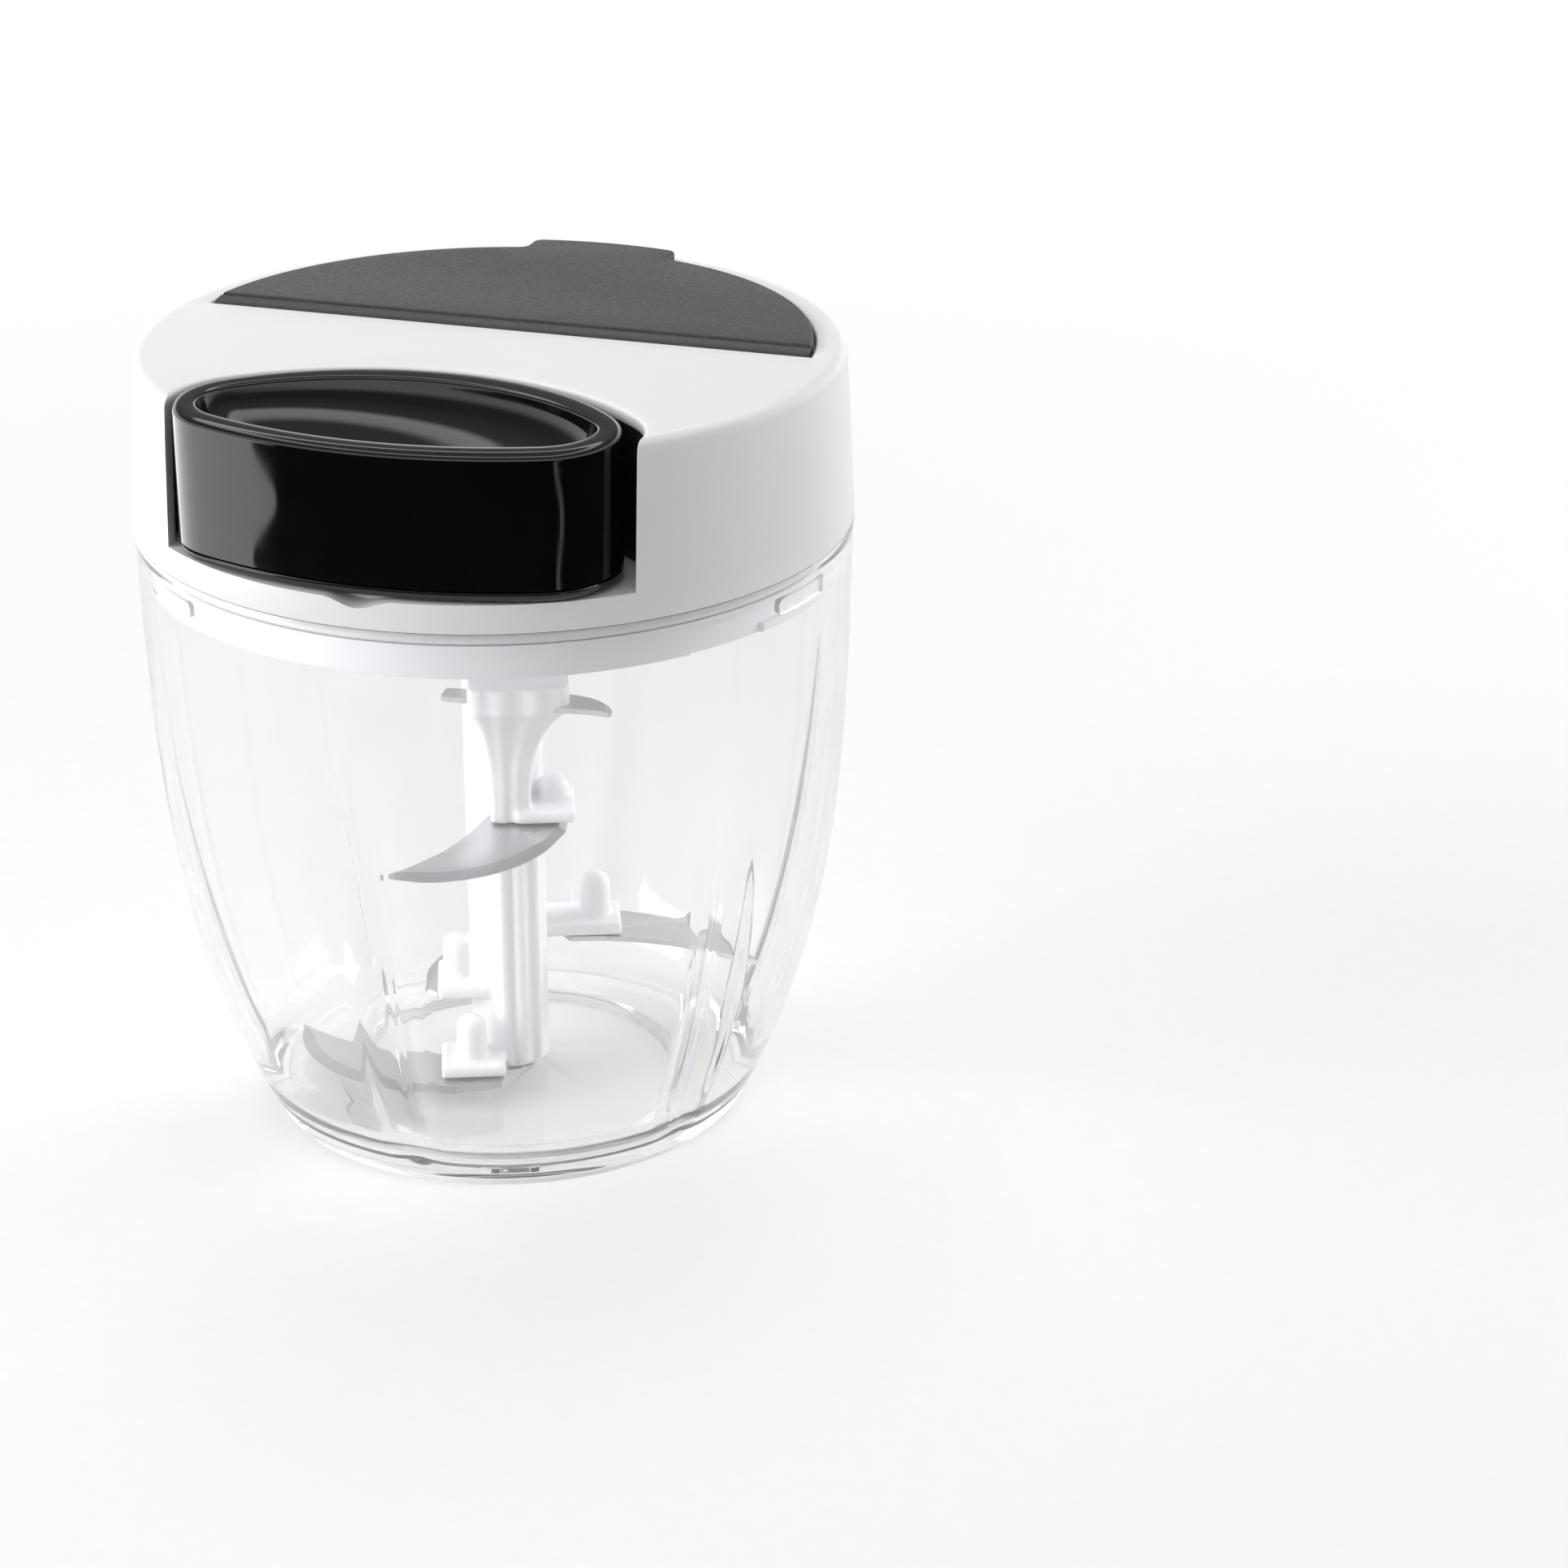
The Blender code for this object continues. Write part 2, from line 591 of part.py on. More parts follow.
def make_lid_housing(material):
    edge = LID_EDGE_ROUND
    rim = [(LID_TOP_RADIUS - edge + edge * math.cos(a), LID_TOP_Z - edge + edge * math.sin(a))
           for a in (0.0, math.pi / 6, math.pi / 3, math.pi / 2)]
    outer = [(0.0, SEAM_Z), (BOWL_RIM_RADIUS - LID_SEAM_EDGE, SEAM_Z),
             (BOWL_RIM_RADIUS, SEAM_Z + LID_SEAM_EDGE)]
    outer += rim + [(0.0, LID_TOP_Z)]
    housing = lathe("lid_housing", outer, LID_SEGMENTS, material)

    cavity = lathe("guide_lid_cavity", [(0.0, SEAM_Z - PAST), (BOWL_RIM_RADIUS - LID_WALL, SEAM_Z - PAST),
                                        (lid_radius(SEAM_Z) - LID_WALL, SEAM_Z),
                                        (lid_radius(DECK_Z) - LID_WALL, DECK_Z), (0.0, DECK_Z)],
                   LID_SEGMENTS)
    high = LID_TOP_Z + PAST
    slab = prism("guide_dock_floor", dock_outline(DOCK_LINER + DOCK_FLOOR_MARGIN),
                 DOCK_FLOOR_Z - DOCK_FLOOR, DOCK_FLOOR_Z)
    boss = axle_boss(high)
    cut(cavity, slab, boss)
    cut(cavity, *screw_posts(high))
    cut(housing, cavity)

    dock = prism("guide_dock", dock_outline(), DOCK_FLOOR_Z, high)
    notch = prism("guide_dock_notch",
                  [(-DOCK_NOTCH_HALF_WIDTH, handle_front_y() - PAST),
                   (DOCK_NOTCH_HALF_WIDTH, handle_front_y() - PAST),
                   (DOCK_NOTCH_HALF_WIDTH * 0.5, handle_front_y(-DOCK_NOTCH_REACH)),
                   (-DOCK_NOTCH_HALF_WIDTH * 0.5, handle_front_y(-DOCK_NOTCH_REACH))],
                  DOCK_FLOOR_Z - DOCK_NOTCH_DEPTH * 0.7, DOCK_FLOOR_Z + DOCK_NOTCH_DEPTH)
    pocket = prism("guide_flap_pocket", flap_pocket_outline(), DECK_Z - PAST, high)
    tab = box("guide_tab_notch",
              (-FLAP_TAB_HALF_WIDTH - SLIDE_GAP, FLAP_RADIUS * 0.8, FLAP_BOTTOM_Z - SLIDE_GAP),
              (FLAP_TAB_HALF_WIDTH + SLIDE_GAP, BOWL_RIM_RADIUS * 1.2, high))
    pin_bore = rod("guide_flap_pin_bore",
                   (-BOWL_RIM_RADIUS + LID_WALL * 2, FLAP_AXIS_Y, FLAP_AXIS_Z),
                   (BOWL_RIM_RADIUS - LID_WALL * 2, FLAP_AXIS_Y, FLAP_AXIS_Z), FLAP_PIN_RADIUS + PIN_GAP, 12)
    axle_bore = disc("guide_axle_bore", AXLE_RADIUS + SEAT_GAP, REEL_TOP_Z - PAST, AXLE_TOP_Z, 16)
    cut(housing, dock, notch, pocket, tab, pin_bore, axle_bore)
    for index, place in enumerate(lid_screw_places()):
        hole = disc(f"guide_post_hole_{index}", SCREW_RADIUS + SEAT_GAP, SKIRT_Z - PAST,
                    PLATE_TOP_Z + LID_SCREW_LENGTH, 10)
        hole.location = place
        cut(housing, hole)
    return housing


def make_flap_tray(material):
    low = POCKET_Z - POCKET_FLOOR_WALL
    tray = prism("flap_tray", flap_pocket_outline(POCKET_FLOOR_WALL), low, DECK_Z - FLAT_GAP, material)
    well = prism("guide_flap_well", flap_pocket_outline(), POCKET_Z, LID_TOP_Z)
    fill = prism("guide_fill", segment_outline(FILL_CHORD_Y, FILL_RADIUS), low - PAST, LID_TOP_Z)
    cut(tray, well, fill, axle_boss(LID_TOP_Z, SEAT_GAP))
    return cut(tray, *screw_posts(LID_TOP_Z, SEAT_GAP))


# Lid base

def make_lid_base(material):
    skirt = skirt_radius()
    inner = skirt - SKIRT_WALL
    top = SEAM_Z + SKIRT_TOP_ABOVE_RIM
    hub = SOCKET_RADIUS + SLIDE_GAP
    groove_top = SEAM_Z - SEAL_BELOW_RIM
    groove_low = groove_top - SEAL_HEIGHT - 2 * FLAT_GAP
    groove = skirt - SEAL_GROOVE_DEPTH
    profile = [(hub, SKIRT_Z), (skirt, SKIRT_Z), (skirt, groove_low), (groove, groove_low),
               (groove, groove_top), (skirt, groove_top), (skirt, top), (inner, top),
               (inner, PLATE_TOP_Z), (hub, PLATE_TOP_Z)]
    base = lathe("lid_base", profile, LID_SEGMENTS, material)
    cut(base, chute_bore())
    lug_top = BOWL_HEIGHT - LUG_TOP_BELOW_RIM
    depth = LUG_REACH - SLIDE_GAP + SEAT_GAP
    reach = LUG_HALF_ANGLE + CHANNEL_GAP_ANGLE
    for index in range(LUG_COUNT):
        centre = LUG_FIRST_ANGLE + index * 360.0 / LUG_COUNT
        run = sector_block(f"guide_channel_{index}", skirt - depth, skirt + PAST,
                           centre - LID_TWIST - reach, centre + reach,
                           lug_top - LUG_HEIGHT - SEAT_GAP, lug_top + SEAT_GAP, 10)
        mouth = sector_block(f"guide_mouth_{index}", skirt - depth, skirt + PAST,
                             centre - LID_TWIST - reach, centre - LID_TWIST + reach,
                             SKIRT_Z - PAST, lug_top)
        cut(base, run, mouth)
    for index, place in enumerate(lid_screw_places()):
        hole = disc(f"guide_base_hole_{index}", SCREW_RADIUS + SEAT_GAP, SKIRT_Z - PAST,
                    PLATE_TOP_Z + PAST, 10)
        hole.location = place
        cut(base, hole)
    return base


def chute_bore():
    outline = segment_outline(FILL_CHORD_Y, FILL_RADIUS, 20)
    return prism("guide_chute_bore", outline, SKIRT_Z - PAST, LID_TOP_Z)


def make_fill_chute(material):
    outline = segment_outline(FILL_CHORD_Y - CHUTE_WALL, FILL_RADIUS + CHUTE_WALL, 20)
    high = POCKET_Z - POCKET_FLOOR_WALL - SEAT_GAP
    return cut(prism("fill_chute", outline, PLATE_TOP_Z + FLAT_GAP, high, material), chute_bore())


def make_lid_seal(material):
    top = SEAM_Z - SEAL_BELOW_RIM - FLAT_GAP
    inner = skirt_radius() - SEAL_GROOVE_DEPTH + SEAT_GAP
    outer = bowl_radius(SEAM_Z - SEAL_BELOW_RIM - SEAL_HEIGHT) - BOWL_WALL - SEAT_GAP
    profile = [(inner, top - SEAL_HEIGHT), (outer, top - SEAL_HEIGHT * 0.8), (outer, top - SEAL_HEIGHT * 0.2),
               (inner, top)]
    return lathe("lid_seal", profile, 40, material)


def copies(name, profile, steps, places, material):
    """Turned pieces that share one mesh, each its own object."""
    first = lathe(f"{name}_1", profile, steps, material)
    pieces = [first]
    for number in range(2, len(places) + 1):
        piece = bpy.data.objects.new(f"{name}_{number}", first.data)
        bpy.context.scene.collection.objects.link(piece)
        pieces.append(piece)
    for piece, place in zip(pieces, places):
        piece.location = place
    return pieces


def make_lid_screws(material):
    head_top = SKIRT_Z - SEAT_GAP
    tip = PLATE_TOP_Z + LID_SCREW_LENGTH - SCREW_END_GAP
    profile = [(0.0, head_top - SCREW_HEAD), (SCREW_HEAD_RADIUS, head_top - SCREW_HEAD),
               (SCREW_HEAD_RADIUS, head_top), (SCREW_RADIUS, head_top), (SCREW_RADIUS, tip), (0.0, tip)]
    return copies("lid_screw", profile, 10, lid_screw_places(), material)


# Dock wall and cord guide

def make_handle_dock(material):
    low = DOCK_FLOOR_Z + FLAT_GAP
    high = DECK_Z - FLAT_GAP
    wall = prism("handle_dock", dock_outline(DOCK_LINER), low, high, material)
    inner = prism("guide_dock_bore", dock_outline(), low - PAST, high + PAST)
    reach = BOWL_RIM_RADIUS * 1.2
    lid_bore = min(lid_radius(DECK_Z), lid_radius(DOCK_FLOOR_Z)) - LID_WALL - SLIDE_GAP
    clip_y = -math.sqrt(lid_bore ** 2
                        - (HANDLE_HALF_SPAN + HANDLE_END_RADIUS + DOCK_END_GAP + DOCK_LINER) ** 2)
    clip = box("guide_dock_clip", (-reach, -reach * 2, low - PAST), (reach, clip_y, high + PAST))
    hole = rod("guide_dock_hole", (0.0, handle_back_y(-PAST), CORD_Z), (0.0, handle_back_y(PAST), CORD_Z),
               GUIDE_RADIUS + SEAT_GAP, 16)
    return cut(wall, inner, clip, hole)


def guide_faces():
    """Front face, flange face and back face of the guide bush, along Y."""
    front = handle_back_y(DOCK_GAP)
    seat = front + DOCK_LINER + SEAT_GAP
    return front, seat, seat + GUIDE_FLANGE


def make_cord_guide(material):
    front, seat, back = guide_faces()
    bore = CORD_RADIUS + SLIDE_GAP
    profile = [(bore, front), (GUIDE_RADIUS, front), (GUIDE_RADIUS, seat), (GUIDE_FLANGE_RADIUS, seat),
               (GUIDE_FLANGE_RADIUS, back), (GUIDE_MOUTH_RADIUS, back)]
    bm = lathe_bmesh(profile, 16)
    turn = Matrix.Rotation(math.radians(-90.0), 4, "X")
    bmesh.ops.transform(bm, matrix=Matrix.Translation((0.0, 0.0, CORD_Z)) @ turn, verts=bm.verts[:])
    return object_from("cord_guide_bush", bm, material)


# Reel, spring and drive

def make_reel(material):
    bore = AXLE_RADIUS + SEAT_GAP
    drum_low = REEL_Z + REEL_FLANGE
    drum_high = drum_low + REEL_DRUM_HEIGHT
    arbor_low = SOCKET_TOP_Z + SEAT_GAP
    profile = [(0.0, arbor_low), (ARBOR_RADIUS, arbor_low), (ARBOR_RADIUS, REEL_Z),
               (REEL_FLANGE_RADIUS, REEL_Z), (REEL_FLANGE_RADIUS, drum_low),
               (DRUM_RADIUS, drum_low), (DRUM_RADIUS, drum_high),
               (REEL_FLANGE_RADIUS, drum_high), (REEL_FLANGE_RADIUS, REEL_TOP_Z), (bore, REEL_TOP_Z),
               (bore, REEL_Z - AXLE_DEPTH), (0.0, REEL_Z - AXLE_DEPTH)]
    reel = lathe("reel", profile, 32, material)
    key = box("guide_reel_key", (-KEY_HALF_WIDTH, -KEY_HALF_WIDTH, arbor_low - KEY_HEIGHT),
              (KEY_HALF_WIDTH, KEY_HALF_WIDTH, arbor_low + SEAT_GAP))
    join(reel, key)
    screw_hole = disc("guide_reel_screw", SCREW_RADIUS + SEAT_GAP, arbor_low - PAST,
                      arbor_low + SCREW_BITE + SCREW_END_GAP, 10)
    return cut(reel, screw_hole)


def make_winding(material):
    low = REEL_Z + REEL_FLANGE + FLAT_GAP
    high = low + REEL_DRUM_HEIGHT - 2 * FLAT_GAP
    round_off = CORD_RADIUS * 0.5
    profile = [(DRUM_RADIUS + SEAT_GAP, low), (WINDING_RADIUS - round_off, low),
               (WINDING_RADIUS, low + round_off), (WINDING_RADIUS, high - round_off),
               (WINDING_RADIUS - round_off, high), (DRUM_RADIUS + SEAT_GAP, high)]
    return lathe("cord_winding", profile, 32, material)


def make_axle(material):
    low = REEL_Z - AXLE_DEPTH + SEAT_GAP
    high = AXLE_TOP_Z - SEAT_GAP
    return disc("reel_axle", AXLE_RADIUS, low, high, 16, material)


def make_washer(material):
    low = REEL_TOP_Z + FLAT_GAP
    bore = AXLE_RADIUS + SEAT_GAP
    profile = [(bore, low), (WASHER_RADIUS, low), (WASHER_RADIUS, low + WASHER), (bore, low + WASHER)]
    return lathe("reel_washer", profile, 20, material)


def make_spring_cup(material):
    low = PLATE_TOP_Z + FLAT_GAP
    top = SPRING_CUP_TOP_Z - SPRING_COVER - FLAT_GAP
    hole = SOCKET_FLANGE_RADIUS + SLIDE_GAP
    inner = SPRING_CUP_RADIUS - SPRING_CUP_WALL
    profile = [(hole, low), (SPRING_CUP_RADIUS, low), (SPRING_CUP_RADIUS, top), (inner, top),
               (inner, low + SPRING_CUP_FLOOR), (hole, low + SPRING_CUP_FLOOR)]
    return lathe("spring_cup", profile, 36, material)


def make_spring_cover(material):
    low = SPRING_CUP_TOP_Z - SPRING_COVER
    hole = ARBOR_RADIUS + SLIDE_GAP
    profile = [(hole, low), (SPRING_CUP_RADIUS, low), (SPRING_CUP_RADIUS, SPRING_CUP_TOP_Z),
               (hole, SPRING_CUP_TOP_Z)]
    return lathe("spring_cover", profile, 36, material)


def make_recoil_spring(material):
    """A flat spiral strip from the arbor to the cup wall."""
    low = PLATE_TOP_Z + FLAT_GAP + SPRING_CUP_FLOOR + FLAT_GAP
    high = SPRING_CUP_TOP_Z - SPRING_COVER - 2 * FLAT_GAP
    start = ARBOR_RADIUS + SEAT_GAP
    end = SPRING_CUP_RADIUS - SPRING_CUP_WALL - SPRING_STRIP - SEAT_GAP
    count = SPRING_TURNS * SPRING_POINTS_PER_TURN
    rings = []
    for index in range(count + 1):
        share = index / count
        radius = start + (end - start) * share
        angle = 360.0 * SPRING_TURNS * share
        rings.append([point_on(radius, angle, low), point_on(radius + SPRING_STRIP, angle, low),
                      point_on(radius + SPRING_STRIP, angle, high), point_on(radius, angle, high)])
    return loft("recoil_spring", rings, material)


def make_drive_socket(material):
    profile = [(0.0, SOCKET_BOTTOM_Z), (SOCKET_RADIUS, SOCKET_BOTTOM_Z), (SOCKET_RADIUS, SOCKET_FLANGE_Z),
               (SOCKET_FLANGE_RADIUS, SOCKET_FLANGE_Z), (SOCKET_FLANGE_RADIUS, SOCKET_TOP_Z),
               (0.0, SOCKET_TOP_Z)]
    socket = lathe("drive_socket", profile, 32, material)
    web_low = SOCKET_TOP_Z - KEY_HEIGHT - SEAT_GAP - SOCKET_WEB
    recess = turn_shaft(disc("guide_hex_recess", HEX_RADIUS + HEX_GAP, SOCKET_BOTTOM_Z - PAST, web_low, 6))
    key = KEY_HALF_WIDTH + SEAT_GAP
    key_recess = box("guide_key_recess", (-key, -key, web_low + SOCKET_WEB), (key, key, SOCKET_TOP_Z + PAST))
    hole = disc("guide_socket_hole", SCREW_RADIUS + SEAT_GAP, SOCKET_BOTTOM_Z, SOCKET_TOP_Z + PAST, 10)
    return cut(socket, recess, key_recess, hole)


def make_socket_screw(material):
    web_low = SOCKET_TOP_Z - KEY_HEIGHT - SEAT_GAP - SOCKET_WEB
    head_top = web_low - SEAT_GAP
    profile = [(0.0, head_top - SCREW_HEAD), (SCREW_HEAD_RADIUS, head_top - SCREW_HEAD),
               (SCREW_HEAD_RADIUS, head_top), (SCREW_RADIUS, head_top),
               (SCREW_RADIUS, SOCKET_TOP_Z + SCREW_BITE), (0.0, SOCKET_TOP_Z + SCREW_BITE)]
    return lathe("socket_screw", profile, 12, material)


# Cord

def make_cord_lead(material):
    """The cord from the winding's outer turn, round its bend, into the guide bush."""
    front, _, back = guide_faces()
    turn_radius = WINDING_RADIUS + CORD_RADIUS + SEAT_GAP
    corner = Vector((0.0, back + CORD_RADIUS, CORD_Z))
    lean = math.acos(turn_radius / abs(corner.y))
    leave = Vector((-turn_radius * math.sin(lean), -turn_radius * math.cos(lean), CORD_Z))
    along = (corner - leave).normalized()
    turn = math.acos(max(-1.0, min(1.0, -along.y)))
    setback = CORD_BEND_RADIUS * math.tan(turn / 2)
    bend_centre = Vector((-CORD_BEND_RADIUS, corner.y - setback, CORD_Z))
    points = []
    for index in range(4):
        angle = math.radians(270.0) - lean - math.radians(14.0) * (3 - index)
        points.append(Vector((turn_radius * math.cos(angle), turn_radius * math.sin(angle), CORD_Z)))
    for index in range(7):
        angle = turn * (1.0 - index / 6)
        points.append(bend_centre + Vector((math.cos(angle), math.sin(angle), 0.0)) * CORD_BEND_RADIUS)
    points.append(Vector((0.0, cord_joint_y() + SEAT_GAP / 2, CORD_Z)))
    return cord_tube("cord_lead", points, material)


def cord_joint_y():
    """Where the lead ends and the stretch that travels with the handle starts."""
    front, seat, _ = guide_faces()
    return front + 0.3 * (seat - front)


def cord_tube(name, points, material):
    curve = bpy.data.curves.new(name, "CURVE")
    curve.dimensions = "3D"
    curve.bevel_depth = CORD_RADIUS
    curve.bevel_resolution = 2
    curve.use_fill_caps = True
    spline = curve.splines.new("POLY")
    spline.points.add(len(points) - 1)
    for item, point in zip(spline.points, points):
        item.co = (*point, 1.0)
    curve.materials.append(material)
    obj = bpy.data.objects.new(name, curve)
    bpy.context.scene.collection.objects.link(obj)
    return obj


def knot_y():
    return handle_back_y() - HANDLE_WALL - SEAT_GAP - CORD_RADIUS * 2.4


def make_pull_cord(material):
    start = Vector((0.0, cord_joint_y() - SEAT_GAP / 2, CORD_Z))
    end = Vector((0.0, knot_y() + CORD_RADIUS * 2.4 + SEAT_GAP, CORD_Z))
    points = [start.lerp(end, index / 3) for index in range(4)]
    return cord_tube("pull_cord", points, material)


def make_knot(material):
    bm = bmesh.new()
    bmesh.ops.create_icosphere(bm, subdivisions=2, radius=CORD_RADIUS * 2.4)
    bmesh.ops.translate(bm, verts=bm.verts[:], vec=(0.0, knot_y(), CORD_Z))
    return object_from("cord_knot", bm, material)


# Pull handle

def pocket_rings(grow, extra_depth):
    """Rings of the finger pocket, from above its mouth down to its floor."""
    centre_y = (handle_front_y() + handle_back_y() - HANDLE_BACK_RIM_EXTRA) / 2
    mouth = lens_outline(-HANDLE_RIM + grow)
    depth = POCKET_DEPTH + extra_depth
    rings = []
    levels = [(-POCKET_LEAD, 1.0)]
    for index in range(POCKET_LEVELS + 1):
        share = index / POCKET_LEVELS * 0.97
        levels.append((share * depth, (1.0 - share ** POCKET_POWER) ** (1.0 / POCKET_POWER)))
    back_shift = HANDLE_BACK_RIM_EXTRA
    mid = HANDLE_CENTRE_Y
    for drop, scale in levels:
        ring = []
        for x, y in mouth:
            if y > mid:
                y -= back_shift * (y - mid) / (handle_back_y() - HANDLE_RIM - mid)
            ring.append(Vector((x * scale, centre_y + (y - centre_y) * scale, HANDLE_TOP_Z - drop)))
        rings.append(ring[::-1])
    return rings


def handle_screw_places():
    return [Vector((side * HANDLE_SCREW_SPAN, HANDLE_CENTRE_Y, 0.0)) for side in (-1, 1)]


def make_handle_shell(material):
    low = HANDLE_BOTTOM_Z + HANDLE_COVER + FLAT_GAP
    bm = prism_bmesh(lens_outline(), low, HANDLE_TOP_Z)
    rim = [edge for edge in bm.edges if all(abs(vert.co.z - HANDLE_TOP_Z) < 1e-7 for vert in edge.verts)]
    bmesh.ops.bevel(bm, geom=rim, offset=HANDLE_EDGE_ROUND, segments=2, profile=0.5, affect="EDGES",
                    material=-1)
    shell = object_from("handle_shell", bm, material)
    hollow = prism("guide_handle_hollow", lens_outline(-HANDLE_WALL), low - PAST,
                   HANDLE_TOP_Z - HANDLE_WALL * 1.6)
    tub = loft("guide_pocket_tub", pocket_rings(HANDLE_WALL * 0.8, HANDLE_WALL * 0.8))
    cut(hollow, tub)
    for index, place in enumerate(handle_screw_places()):
        post = disc(f"guide_handle_post_{index}", SCREW_RADIUS * 2.4, low, HANDLE_TOP_Z, 12)
        post.location = place
        cut(hollow, post)
    pocket = loft("guide_pocket", pocket_rings(0.0, 0.0))
    hole = rod("guide_cord_hole", (0.0, handle_back_y(PAST), CORD_Z),
               (0.0, handle_back_y() - HANDLE_WALL * 1.2, CORD_Z), CORD_RADIUS + SEAT_GAP, 12)
    cut(shell, hollow, pocket, hole)
    for index, place in enumerate(handle_screw_places()):
        bore = disc(f"guide_handle_bore_{index}", SCREW_RADIUS + SEAT_GAP, low - PAST,
                    low + SCREW_BITE + SCREW_END_GAP, 10)
        bore.location = place
        cut(shell, bore)
    return shell


def make_handle_cover(material):
    low = HANDLE_BOTTOM_Z
    high = low + HANDLE_COVER
    bm = prism_bmesh(lens_outline(-HANDLE_COVER_INSET), low, high)
    rim = [edge for edge in bm.edges if all(abs(vert.co.z - low) < 1e-7 for vert in edge.verts)]
    bmesh.ops.bevel(bm, geom=rim, offset=HANDLE_COVER * 0.5, segments=1, profile=0.5, affect="EDGES",
                    material=-1)
    cover = object_from("handle_cover", bm, material)
    for index, place in enumerate(handle_screw_places()):
        bore = disc(f"guide_cover_bore_{index}", SCREW_RADIUS + SEAT_GAP, low - PAST, high + PAST, 10)
        sink = disc(f"guide_cover_sink_{index}", SCREW_HEAD_RADIUS + SEAT_GAP, low - PAST,
                    low + SCREW_HEAD * 0.6, 12)
        bore.location = place
        sink.location = place
        cut(cover, bore, sink)
    return cover


def make_handle_screws(material):
    head_low = HANDLE_BOTTOM_Z + HANDLE_SCREW_SUNK
    head_top = HANDLE_BOTTOM_Z + SCREW_HEAD * 0.6 - FLAT_GAP
    tip = HANDLE_BOTTOM_Z + HANDLE_COVER + SCREW_BITE
    profile = [(0.0, head_low), (SCREW_HEAD_RADIUS, head_low), (SCREW_HEAD_RADIUS, head_top),
               (SCREW_RADIUS, head_top), (SCREW_RADIUS, tip), (0.0, tip)]
    return copies("handle_screw", profile, 10, handle_screw_places(), material)


# Fill flap

def make_flap(material):
    low = FLAP_BOTTOM_Z - FLAP_AXIS_Z
    high = FLAP_TOP_Z - FLAP_AXIS_Z
    front = FLAP_FRONT_OVERHANG
    side = [(-front + FLAP_SLOPE, high), (-front, LID_TOP_Z - FLAP_AXIS_Z), (-front, low * 0.2),
            (-front * 0.7, low), (FLAP_RADIUS + PAST, low), (FLAP_RADIUS + PAST, high)]
    reach = FLAP_RADIUS * 1.2
    rings = [[Vector((x, FLAP_AXIS_Y + y, FLAP_AXIS_Z + z)) for y, z in side] for x in (-reach, reach)]
    flap = loft("fill_flap", rings, material)
    round_bm = prism_bmesh(segment_outline(FLAP_CHORD_Y * 0.5, FLAP_RADIUS), FLAP_BOTTOM_Z - PAST,
                           FLAP_TOP_Z + PAST)
    disc_guide = object_from("guide_flap_round", round_bm)
    low_y = FLAP_RADIUS * 0.8
    tab_angle = math.degrees(math.asin(FLAP_TAB_HALF_WIDTH / FLAP_TAB_RADIUS))
    tab = [(FLAP_TAB_HALF_WIDTH, low_y)]
    tab += arc((0.0, 0.0), FLAP_TAB_RADIUS, 90.0 - tab_angle, 90.0 + tab_angle, 8)
    tab += [(-FLAP_TAB_HALF_WIDTH, low_y)]
    tab_guide = prism("guide_flap_tab", tab, FLAP_BOTTOM_Z - PAST, FLAP_TOP_Z + PAST)
    join(disc_guide, tab_guide)
    boolean(flap, disc_guide, "INTERSECT")
    end = math.sqrt(FLAP_RADIUS ** 2 - FLAP_AXIS_Y ** 2)
    pins = rod("guide_flap_pins", (-end - FLAP_PIN_REACH, FLAP_AXIS_Y, FLAP_AXIS_Z),
               (end + FLAP_PIN_REACH, FLAP_AXIS_Y, FLAP_AXIS_Z), FLAP_PIN_RADIUS, 12)
    join(flap, pins)
    return flap


def make_flap_seal(material):
    top = FLAP_BOTTOM_Z - FLAT_GAP
    width = FLAP_SEAL_WIDTH
    seal = prism("flap_seal", segment_outline(FILL_CHORD_Y - width, FILL_RADIUS + width, 20),
                 top - FLAP_SEAL, top, material)
    bore = prism("guide_flap_seal_bore", segment_outline(FILL_CHORD_Y, FILL_RADIUS, 20),
                 top - FLAP_SEAL * 2, top + FLAP_SEAL)
    return cut(seal, bore)


# Blades, in the shaft's own frame: +X right and +Y back

